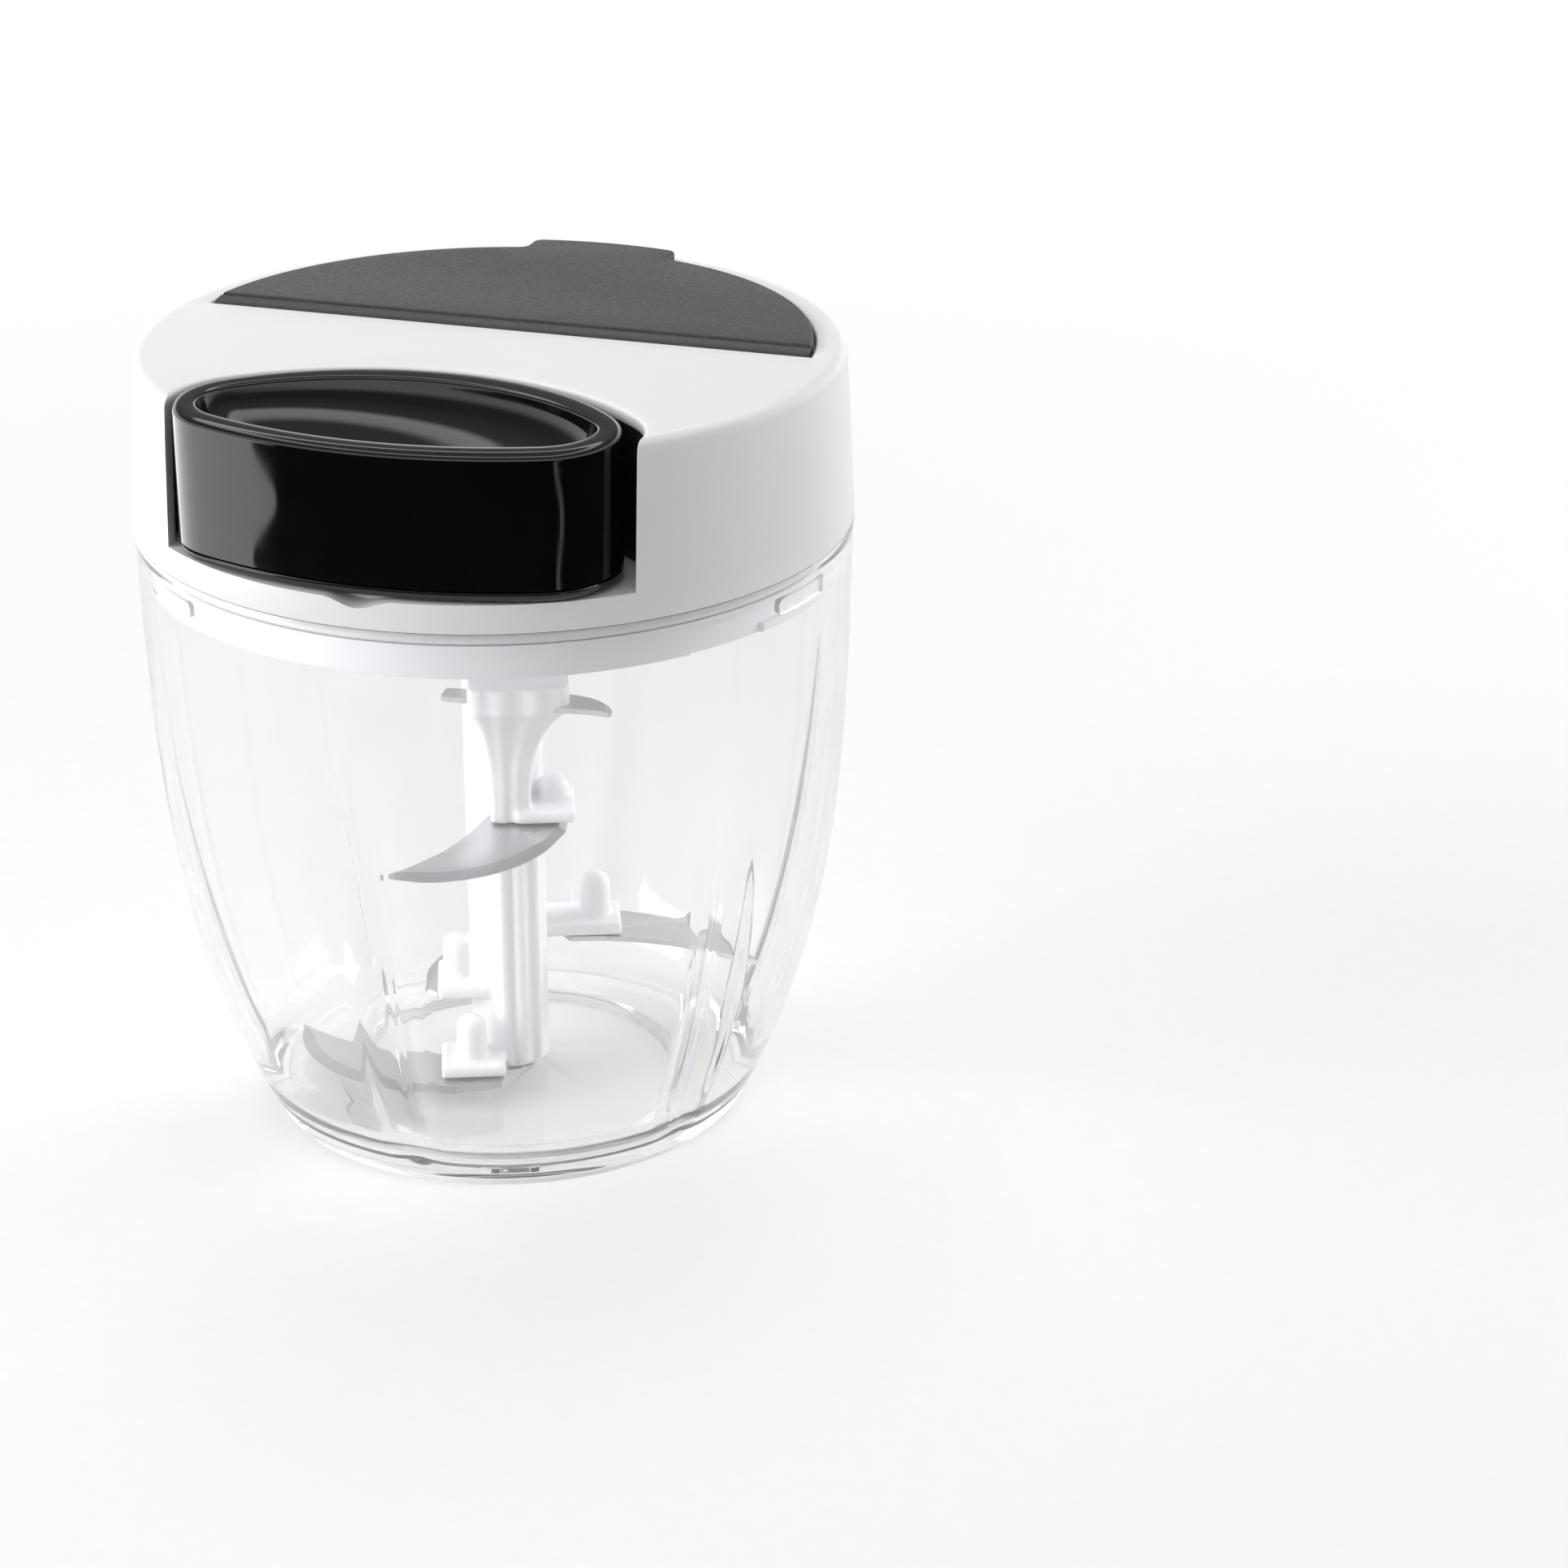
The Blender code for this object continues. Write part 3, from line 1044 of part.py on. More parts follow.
class Blade:
    """One sickle blade: its root, its heading, its level and its size."""

    def __init__(self, root, heading, share, spike=0.0, scale=1.0, tail=0.41, width=1.0):
        self.root = Vector((root[0], root[1], 0.0)) * SHAFT_RADIUS
        self.heading = heading
        self.level = SHAFT_BOTTOM_Z + share * (SHAFT_TOP_Z - SHAFT_BOTTOM_Z)
        self.spike = spike
        self.scale = scale
        self.tail = tail * SHAFT_RADIUS
        self.half_width = BLADE_HALF_WIDTH * width

    def outline(self, grow=0.0):
        """Convex cutting edge out to the tip, then back along the inner edge."""
        radius = BLADE_CURVE_RADIUS * self.scale
        full = self.half_width + grow
        end = self.half_width * BLADE_TAIL_TAPER + grow
        outer = [(-self.tail - grow, end), (-self.tail * 0.4, full)]
        inner = [(-self.tail - grow, -end), (-self.tail * 0.4, -full)]
        for index in range(BLADE_STEPS + 1):
            share = index / BLADE_STEPS
            angle = math.radians(BLADE_SWEEP) * share
            half = full * (1.0 - share ** 2.0) ** 0.9
            for edge, reach in ((outer, radius + half), (inner, radius - half)):
                if self.spike and edge is outer and index == BLADE_SPIKE_STEP:
                    reach += self.spike
                edge.append((math.sin(angle) * reach, reach * math.cos(angle) - radius))
        return outer[:-1] + [(outer[-1][0] + grow, outer[-1][1] - grow)] + inner[-2::-1]

    def mesh(self, name, grow=0.0, material=None):
        thickness = BLADE_THICKNESS + 1.8 * grow
        bm = prism_bmesh(self.outline(grow), -thickness / 2, thickness / 2)
        turn = Matrix.Rotation(math.radians(self.heading), 4, "Z")
        place = self.root + Vector((0.0, 0.0, self.level))
        bmesh.ops.transform(bm, matrix=Matrix.Translation(place) @ turn, verts=bm.verts[:])
        return object_from(name, bm, material)


# Roots and tails in shaft radii, levels as a share of the shaft's length
BLADES = (
    Blade((-2.06, -1.54), 171.0, 0.012, scale=0.80, tail=1.88),
    Blade((1.78, 1.37), 0.0, 0.231, spike=BLADE_SPIKE, scale=0.95),
    Blade((-1.37, 0.07), 90.0, 0.142, scale=0.80),
    Blade((0.17, -2.27), 246.0, 0.556, scale=0.66, tail=2.30, width=1.11),
    Blade((1.81, -2.32), -15.0, 0.840, scale=0.20, tail=3.35, width=0.52),
)


class Pad:
    """A bracket of the shaft: a plate that covers a blade's root, with a round peg."""

    def __init__(self, low, high, blade, peg, peg_height):
        self.low = Vector(low) * SHAFT_RADIUS
        self.high = Vector(high) * SHAFT_RADIUS
        self.blade = blade
        self.peg = Vector(peg) * SHAFT_RADIUS
        self.peg_height = peg_height * SHAFT_RADIUS

    def bottom(self):
        return self.blade.level + BLADE_THICKNESS / 2 + SEAT_GAP

    def plate(self, name):
        bm = bmesh.new()
        bmesh.ops.create_cube(bm, size=1.0)
        low = Vector((self.low[0], self.low[1], self.bottom()))
        high = Vector((self.high[0], self.high[1], self.bottom() + PAD_THICKNESS))
        bmesh.ops.scale(bm, verts=bm.verts[:], vec=high - low)
        bmesh.ops.translate(bm, verts=bm.verts[:], vec=(low + high) / 2)
        upright = [edge for edge in bm.edges if abs(edge.verts[0].co.z - edge.verts[1].co.z) > 1e-6]
        bmesh.ops.bevel(bm, geom=upright, offset=PAD_CORNER, segments=2, profile=0.5, affect="EDGES",
                        material=-1)
        return object_from(name, bm)

    def peg_post(self, name):
        base = self.bottom() + PAD_THICKNESS / 2
        top = self.bottom() + PAD_THICKNESS + self.peg_height
        dome = PEG_RADIUS * 0.45
        profile = [(0.0, base), (PEG_RADIUS, base), (PEG_RADIUS * 0.94, top - dome),
                   (PEG_RADIUS * 0.66, top - dome * 0.3), (0.0, top)]
        bm = lathe_bmesh(profile, 14)
        bmesh.ops.translate(bm, verts=bm.verts[:], vec=(self.peg[0], self.peg[1], 0.0))
        return object_from(name, bm)


# Corners and pegs in shaft radii
PADS = (
    Pad((-1.81, -2.12), (-0.16, -0.55), BLADES[0], (-1.01, -1.42), 1.15),
    Pad((0.44, 0.30), (2.96, 1.86), BLADES[1], (2.30, 1.12), 1.15),
    Pad((-1.86, -0.90), (-0.50, 0.96), BLADES[2], (-1.32, 0.16), 1.10),
    Pad((0.27, -1.78), (1.78, 0.14), BLADES[3], (1.26, -0.63), 0.55),
)

WEB_LOW = BLADES[3].level + BLADE_THICKNESS / 2 + SEAT_GAP
WEB_HIGH = BLADES[4].level + WEB_ABOVE_BLADE
WEB_LEVELS = 8


def web_rings():
    """The web that drops from the top bracket to the fourth blade, with a flared head."""
    rings = []
    for index in range(WEB_LEVELS + 1):
        share = index / WEB_LEVELS
        flare = share ** 3.2
        left = -SHAFT_RADIUS * (0.36 + 0.49 * flare)
        right = SHAFT_RADIUS * (0.66 + 1.01 * flare)
        front = -SHAFT_RADIUS * (1.70 + 1.10 * flare)
        back = -SHAFT_RADIUS * 0.27
        z = WEB_LOW + (WEB_HIGH - WEB_LOW) * share
        step = (right - left) / 6
        dip = step * 0.5
        ring = [(left, back), (left, front + step), (left + step, front), (left + 2 * step, front + dip),
                (left + 3 * step, front), (left + 4 * step, front + dip), (left + 5 * step, front),
                (right, front + step), (right, back)]
        rings.append([Vector((x, y, z)) for x, y in ring])
    return rings


def rivet_places():
    return [(pad.peg, pad.blade) for pad in PADS]


def make_blade_shaft(material):
    bore = PIN_RADIUS + SEAT_GAP
    bore_top = FLOOR_UNDER_Z + PIN_SOCKET_FLOOR + PIN_LENGTH + PIN_END_GAP
    profile = [(bore, SHAFT_BOTTOM_Z), (SHAFT_RADIUS, SHAFT_BOTTOM_Z),
               (SHAFT_RADIUS, SHAFT_TOP_Z - SHAFT_CHAMFER), (SHAFT_RADIUS - SHAFT_CHAMFER, SHAFT_TOP_Z),
               (0.0, SHAFT_TOP_Z), (0.0, bore_top), (bore, bore_top)]
    bm = lathe_bmesh(profile, 32)
    shaft = object_from("blade_shaft", bm, material)
    parts = [disc("guide_shaft_hex", HEX_RADIUS, SHAFT_TOP_Z - PAST,
                  SOCKET_TOP_Z - KEY_HEIGHT - SOCKET_WEB - SCREW_HEAD - 4 * SEAT_GAP, 6)]
    for index, degrees in enumerate(SHAFT_FLUTE_ANGLES):
        ring = SHAFT_RADIUS - SHAFT_FLUTE_SUNK
        foot = point_on(ring, degrees, SHAFT_BOTTOM_Z + SHAFT_FLUTE_START)
        head = point_on(ring, degrees, WEB_LOW - BLADE_THICKNESS - 2 * SEAT_GAP)
        parts.append(rod(f"guide_flute_{index}", foot, head, SHAFT_FLUTE_RADIUS, 10))
    parts.append(loft("guide_web", web_rings()))
    for index, pad in enumerate(PADS):
        parts.append(pad.plate(f"guide_pad_{index}"))
        parts.append(pad.peg_post(f"guide_peg_{index}"))
    join(shaft, *parts)
    for index, blade in enumerate(BLADES):
        cut(shaft, blade.mesh(f"guide_blade_slot_{index}", SEAT_GAP))
    for index, (peg, blade) in enumerate(rivet_places()):
        hole = disc(f"guide_rivet_hole_{index}", RIVET_RADIUS + SEAT_GAP, blade.level - BLADE_THICKNESS,
                    blade.level + RIVET_LENGTH + SEAT_GAP, 10)
        hole.location = (peg[0], peg[1], 0.0)
        cut(shaft, hole)
    return turn_shaft(shaft)


def make_blade(number, material):
    blade = BLADES[number]
    piece = blade.mesh(f"blade_{number + 1}", 0.0, material)
    for peg, owner in rivet_places():
        if owner is blade:
            hole = disc(f"guide_blade_hole_{number}", RIVET_RADIUS + SEAT_GAP, blade.level - BLADE_THICKNESS,
                        blade.level + BLADE_THICKNESS, 10)
            hole.location = (peg[0], peg[1], 0.0)
            cut(piece, hole)
    return turn_shaft(piece)


def make_rivets(material):
    """Rivets that hold the blades under their brackets."""
    low = -BLADE_THICKNESS / 2 - SEAT_GAP
    profile = [(0.0, low - RIVET_HEAD), (RIVET_HEAD_RADIUS * 0.7, low - RIVET_HEAD), (RIVET_HEAD_RADIUS, low),
               (RIVET_RADIUS, low), (RIVET_RADIUS, RIVET_LENGTH), (0.0, RIVET_LENGTH)]
    turn = Matrix.Rotation(math.radians(SHAFT_TURN), 3, "Z")
    places = [turn @ Vector((peg[0], peg[1], blade.level)) for peg, blade in rivet_places()]
    return copies("blade_rivet", profile, 10, places, material)


def parent_to(pieces, name, place):
    """Hold the pieces of a moving body on an empty that lies on its joint's axis."""
    hub = bpy.data.objects.new(name, None)
    hub.location = place
    bpy.context.scene.collection.objects.link(hub)
    for piece in pieces:
        piece.parent = hub
        piece.matrix_parent_inverse = Matrix.Translation(place).inverted()
    return hub


def main():
    clear_scene()
    clear = make_material("clear_plastic", (0.90, 0.92, 0.94), 0.05, alpha=0.3)
    white = make_material("white_plastic", (0.86, 0.86, 0.88), 0.35)
    milky = make_material("milky_silicone", (0.82, 0.79, 0.74), 0.6)
    black = make_material("gloss_black", (0.006, 0.006, 0.007), 0.06)
    matt_black = make_material("matt_black", (0.01, 0.01, 0.011), 0.5)
    dark = make_material("dark_textured", (0.065, 0.065, 0.07), 0.55)
    steel = make_material("blade_steel", (0.62, 0.62, 0.63), 0.3, metallic=1.0)
    cord = make_material("cord_fibre", (0.75, 0.75, 0.74), 0.8)

    make_bowl(clear)
    make_non_slip_ring(milky)
    make_pivot_pin(steel)

    lid = [make_lid_housing(white), make_flap_tray(white), make_lid_base(white), make_fill_chute(white),
           make_lid_seal(milky), make_handle_dock(matt_black),
           make_cord_guide(steel), make_axle(steel), make_washer(steel), make_spring_cup(white),
           make_spring_cover(white), make_recoil_spring(steel), make_cord_lead(cord)]
    lid += make_lid_screws(steel)
    parent_to(lid, "lid_axis", Vector((0.0, 0.0, SEAM_Z)))

    flap = [make_flap(dark), make_flap_seal(milky)]
    parent_to(flap, "flap_axis", Vector((0.0, FLAP_AXIS_Y, FLAP_AXIS_Z)))

    handle = [make_handle_shell(black), make_handle_cover(black), make_pull_cord(cord), make_knot(cord)]
    handle += make_handle_screws(steel)
    parent_to(handle, "handle_line", Vector((0.0, handle_back_y(), CORD_Z)))

    reel = [make_reel(white), make_winding(cord), make_drive_socket(white), make_socket_screw(steel)]
    parent_to(reel, "reel_axis", Vector((0.0, 0.0, REEL_Z)))

    blades = [make_blade_shaft(white)] + make_rivets(steel)
    blades += [make_blade(number, steel) for number in range(len(BLADES))]
    parent_to(blades, "blade_axis", Vector((0.0, 0.0, SHAFT_BOTTOM_Z)))


main()
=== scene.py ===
"""Pull cord food chopper: fine pieces, finishes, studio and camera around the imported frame.

Everything is in metres in the frame's own axes: +Z up, the bowl's axis through the origin,
the pull handle towards -Y.
"""

import logging
import math
from dataclasses import dataclass
from enum import Enum
from typing import Callable, Iterable, List, Optional, Sequence, Tuple

import bmesh
import bpy
from mathutils import Matrix, Vector


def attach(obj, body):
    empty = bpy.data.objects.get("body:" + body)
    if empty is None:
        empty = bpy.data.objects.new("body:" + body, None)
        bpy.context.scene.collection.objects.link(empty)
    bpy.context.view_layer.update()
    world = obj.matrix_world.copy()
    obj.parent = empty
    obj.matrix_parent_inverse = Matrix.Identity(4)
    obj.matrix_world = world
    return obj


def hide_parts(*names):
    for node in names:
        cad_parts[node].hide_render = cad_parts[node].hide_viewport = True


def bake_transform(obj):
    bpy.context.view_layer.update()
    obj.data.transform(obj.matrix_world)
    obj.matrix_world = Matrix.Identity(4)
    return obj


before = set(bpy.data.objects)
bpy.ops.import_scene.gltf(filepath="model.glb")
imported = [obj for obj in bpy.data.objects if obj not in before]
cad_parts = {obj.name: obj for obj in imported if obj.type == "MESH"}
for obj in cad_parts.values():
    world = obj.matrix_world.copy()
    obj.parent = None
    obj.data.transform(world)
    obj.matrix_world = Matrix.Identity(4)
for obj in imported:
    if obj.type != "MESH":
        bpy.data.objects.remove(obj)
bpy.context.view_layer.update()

MM = 0.001
# How far a cutter reaches past the shape that it cuts.
PAST = 5.0 * MM
# Lengths closer than this are the same.
SAME = 1e-6
LOG = logging.getLogger("chopper")

Point = Tuple[float, float]
Colour = Tuple[float, float, float]


class Body(Enum):
    """The bodies of the frame that a piece can ride on."""

    BOWL = "bowl_group"
    LID = "lid_group"
    FLAP = "flap_group"
    HANDLE = "handle_group"
    REEL = "reel_group"
    BLADES = "blade_group"


class Carving(Enum):
    """What a guide shape does to the shape it is applied to."""

    CUT = "DIFFERENCE"
    JOIN = "UNION"
    KEEP = "INTERSECT"


# Shape helpers


def arc(centre: Point, radius: float, start: float, end: float, count: int) -> List[Point]:
    """Points along an arc.

    Args:
        centre: The arc's centre.
        radius: The arc's radius.
        start: First angle, in degrees.
        end: Last angle, in degrees.
        count: Number of steps.

    Returns:
        The points, both ends included.
    """
    points = []
    for index in range(count + 1):
        angle = math.radians(start + (end - start) * index / count)
        points.append((centre[0] + radius * math.cos(angle), centre[1] + radius * math.sin(angle)))
    return points


def polar(radius: float, degrees: float, z: float = 0.0) -> Vector:
    """The point at a radius, an angle in degrees and a height."""
    angle = math.radians(degrees)
    return Vector((radius * math.cos(angle), radius * math.sin(angle), z))


def smooth_step(value: float) -> float:
    """Ease a share from 0 to 1, held at both ends."""
    share = max(0.0, min(1.0, value))
    return share * share * (3.0 - 2.0 * share)


def turned(profile: Sequence[Point], steps: int) -> bmesh.types.BMesh:
    """Spin a closed profile about the Z axis.

    Args:
        profile: Points as (radius, z). It may touch the axis.
        steps: Number of steps round the axis.

    Returns:
        A closed bmesh with its faces outwards.
    """
    bm = bmesh.new()
    verts = [bm.verts.new((radius, 0.0, z)) for radius, z in profile]
    edges = []
    for first, second in zip(verts, verts[1:] + verts[:1]):
        if first.co.x > 0.0 or second.co.x > 0.0:
            edges.append(bm.edges.new((first, second)))
    bmesh.ops.spin(bm, geom=verts + edges, cent=(0.0, 0.0, 0.0), axis=(0.0, 0.0, 1.0),
                   angle=math.tau, steps=steps, use_merge=True)
    bmesh.ops.remove_doubles(bm, verts=bm.verts[:], dist=SAME)
    bmesh.ops.recalc_face_normals(bm, faces=bm.faces[:])
    return bm


def pulled(outline: Sequence[Point], low: float, high: float) -> bmesh.types.BMesh:
    """Extrude a flat outline of (x, y) points from one height to another."""
    bm = bmesh.new()
    face = bm.faces.new([bm.verts.new((x, y, low)) for x, y in outline])
    grown = bmesh.ops.extrude_face_region(bm, geom=[face])
    top = [item for item in grown["geom"] if isinstance(item, bmesh.types.BMVert)]
    bmesh.ops.translate(bm, verts=top, vec=(0.0, 0.0, high - low))
    bmesh.ops.recalc_face_normals(bm, faces=bm.faces[:])
    return bm


def lofted(rings: Sequence[Sequence[Vector]]) -> bmesh.types.BMesh:
    """Bridge rings of equal length in their order and close both ends.

    Args:
        rings: Closed rings of points.

    Returns:
        A closed bmesh with its faces outwards.
    """
    bm = bmesh.new()
    loops = []
    for ring in rings:
        verts = [bm.verts.new(point) for point in ring]
        loops.append([bm.edges.new(pair) for pair in zip(verts, verts[1:] + verts[:1])])
    for low, high in zip(loops, loops[1:]):
        bmesh.ops.bridge_loops(bm, edges=low + high)
    for end in (loops[0], loops[-1]):
        bmesh.ops.contextual_create(bm, geom=end)
    bmesh.ops.recalc_face_normals(bm, faces=bm.faces[:])
    return bm


def block(low: Sequence[float], high: Sequence[float], edge: float = 0.0) -> bmesh.types.BMesh:
    """A block between two corners, with all its edges rounded.

    Args:
        low: Lowest corner.
        high: Highest corner.
        edge: Radius of the edges, or 0 for sharp ones.

    Returns:
        The block.
    """
    bm = bmesh.new()
    size = Vector(high) - Vector(low)
    bmesh.ops.create_cube(bm, size=1.0)
    bmesh.ops.scale(bm, verts=bm.verts[:], vec=size)
    bmesh.ops.translate(bm, verts=bm.verts[:], vec=Vector(low) + size / 2)
    if edge > 0.0:
        bmesh.ops.bevel(bm, geom=bm.edges[:], offset=edge, segments=3, profile=0.5,
                        affect="EDGES", material=-1)
    return bm


def tube(start: Sequence[float], end: Sequence[float], radius: float,
         steps: int) -> bmesh.types.BMesh:
    """A solid round rod between two points."""
    first = Vector(start)
    span = Vector(end) - first
    bm = turned([(0.0, 0.0), (radius, 0.0), (radius, span.length), (0.0, span.length)], steps)
    turn = Vector((0.0, 0.0, 1.0)).rotation_difference(span).to_matrix().to_4x4()
    bmesh.ops.transform(bm, matrix=Matrix.Translation(first) @ turn, verts=bm.verts[:])
    return bm


def sector(inner: float, outer: float, start: float, end: float, low: float, high: float,
           corner: float = 0.0) -> bmesh.types.BMesh:
    """A block between two radii, two angles and two heights.

    Args:
        inner: Inner radius.
        outer: Outer radius.
        start: First angle, in degrees.
        end: Last angle, in degrees.
        low: Lower height.
        high: Upper height.
        corner: Radius of the four edges that run outwards.

    Returns:
        The block.
    """
    steps = 12
    outline = arc((0.0, 0.0), outer, start, end, steps) + arc((0.0, 0.0), inner, end, start, steps)
    bm = pulled(outline, low, high)
    if corner > 0.0:
        ends = []
        for edge in bm.edges:
            first, second = edge.verts[0].co, edge.verts[1].co
            radial = abs(first.xy.length - second.xy.length) > (outer - inner) / 2
            if radial and abs(first.z - second.z) < SAME:
                ends.append(edge)
        bmesh.ops.bevel(bm, geom=ends, offset=corner, segments=4, profile=0.5, affect="EDGES",
                        material=-1)
    return bm


def holder(name: str, bm: bmesh.types.BMesh) -> bpy.types.Object:
    """Put a bmesh into a scene object for the length of one modelling step."""
    mesh = bpy.data.meshes.new(name)
    bm.to_mesh(mesh)
    bm.free()
    obj = bpy.data.objects.new(name, mesh)
    bpy.context.scene.collection.objects.link(obj)
    return obj


def evaluated(obj: bpy.types.Object, guides: Iterable[bpy.types.Object] = ()) -> bmesh.types.BMesh:
    """Take the shape that an object has with its modifiers, and clear the object away."""
    bpy.context.view_layer.update()
    graph = bpy.context.evaluated_depsgraph_get()
    mesh = bpy.data.meshes.new_from_object(obj.evaluated_get(graph))
    bm = bmesh.new()
    bm.from_mesh(mesh)
    bpy.data.meshes.remove(mesh)
    for used in (obj, *guides):
        data = used.data
        bpy.data.objects.remove(used, do_unlink=True)
        bpy.data.meshes.remove(data)
    return bm


def carved(base: bmesh.types.BMesh, *steps: Tuple[Carving, bmesh.types.BMesh]) -> bmesh.types.BMesh:
    """Cut, join or intersect a shape with others, in their order.

    Args:
        base: The shape to start from.
        steps: Pairs of what to do and the guide shape to do it with.

    Returns:
        The carved shape.
    """
    body = holder("carving_body", base)
    guides = []
    for action, shape in steps:
        guide = holder("carving_guide", shape)
        modifier = body.modifiers.new("carving", "BOOLEAN")
        modifier.operation = action.value
        modifier.solver = "EXACT"
        modifier.object = guide
        guides.append(guide)
    return evaluated(body, guides)


def melted(shapes: Sequence[bmesh.types.BMesh], grain: float, rounds: int) -> bmesh.types.BMesh:
    """Melt overlapping shapes into one moulded form with soft inner corners.

    Args:
        shapes: Closed shapes that overlap.
        grain: Size of the remeshed faces.
        rounds: How many times the form is relaxed.

    Returns:
        The moulded form.
    """
    whole = bmesh.new()
    for shape in shapes:
        mesh = bpy.data.meshes.new("melting")
        shape.to_mesh(mesh)
        shape.free()
        whole.from_mesh(mesh)
        bpy.data.meshes.remove(mesh)
    body = holder("melting_body", whole)
    modifier = body.modifiers.new("melting", "REMESH")
    modifier.mode = "VOXEL"
    modifier.voxel_size = grain
    modifier.adaptivity = 0.0
    bm = evaluated(body)
    for _ in range(rounds):
        bmesh.ops.smooth_vert(bm, verts=bm.verts[:], factor=0.5, use_axis_x=True, use_axis_y=True,
                              use_axis_z=True)
    bmesh.ops.recalc_face_normals(bm, faces=bm.faces[:])
    return bm


def add_piece(name: str, bm: bmesh.types.BMesh, materials: Sequence[bpy.types.Material],
              body: Optional[Body], replaced: Sequence[str] = (),
              sharp: float = 32.0) -> bpy.types.Object:
    """Turn a finished bmesh into a piece of the model.

    Args:
        name: The piece's name.
        bm: Its shape, in the frame's own axes.
        materials: Its materials, in the order of its face slots.
        body: The body that it moves with, or None where it rides on no body.
        replaced: The frame nodes that it stands for.
        sharp: Edges that bend more than this many degrees are shaded sharp.

    Returns:
        The new object.
    """
    mesh = bpy.data.meshes.new(name)
    bm.to_mesh(mesh)
    bm.free()
    for material in materials:
        mesh.materials.append(material)
    mesh.shade_smooth()
    mesh.set_sharp_from_angle(angle=math.radians(sharp))
    obj = bpy.data.objects.new(name, mesh)
    bpy.context.scene.collection.objects.link(obj)
    if body is not None:
        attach(obj, body.value)
    if replaced:
        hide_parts(*replaced)
    mesh.calc_loop_triangles()
    LOG.info("piece %s: %d triangles", name, len(mesh.loop_triangles))
    return obj


def dress(material: bpy.types.Material, *names: str) -> None:
    """Give frame nodes that keep their own shape a finish."""
    for name in names:
        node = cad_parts[name]
        for slot in node.material_slots:
            slot.link = "OBJECT"
            slot.material = material
        LOG.info("node %s dressed in %s", name, material.name)


# Finishes


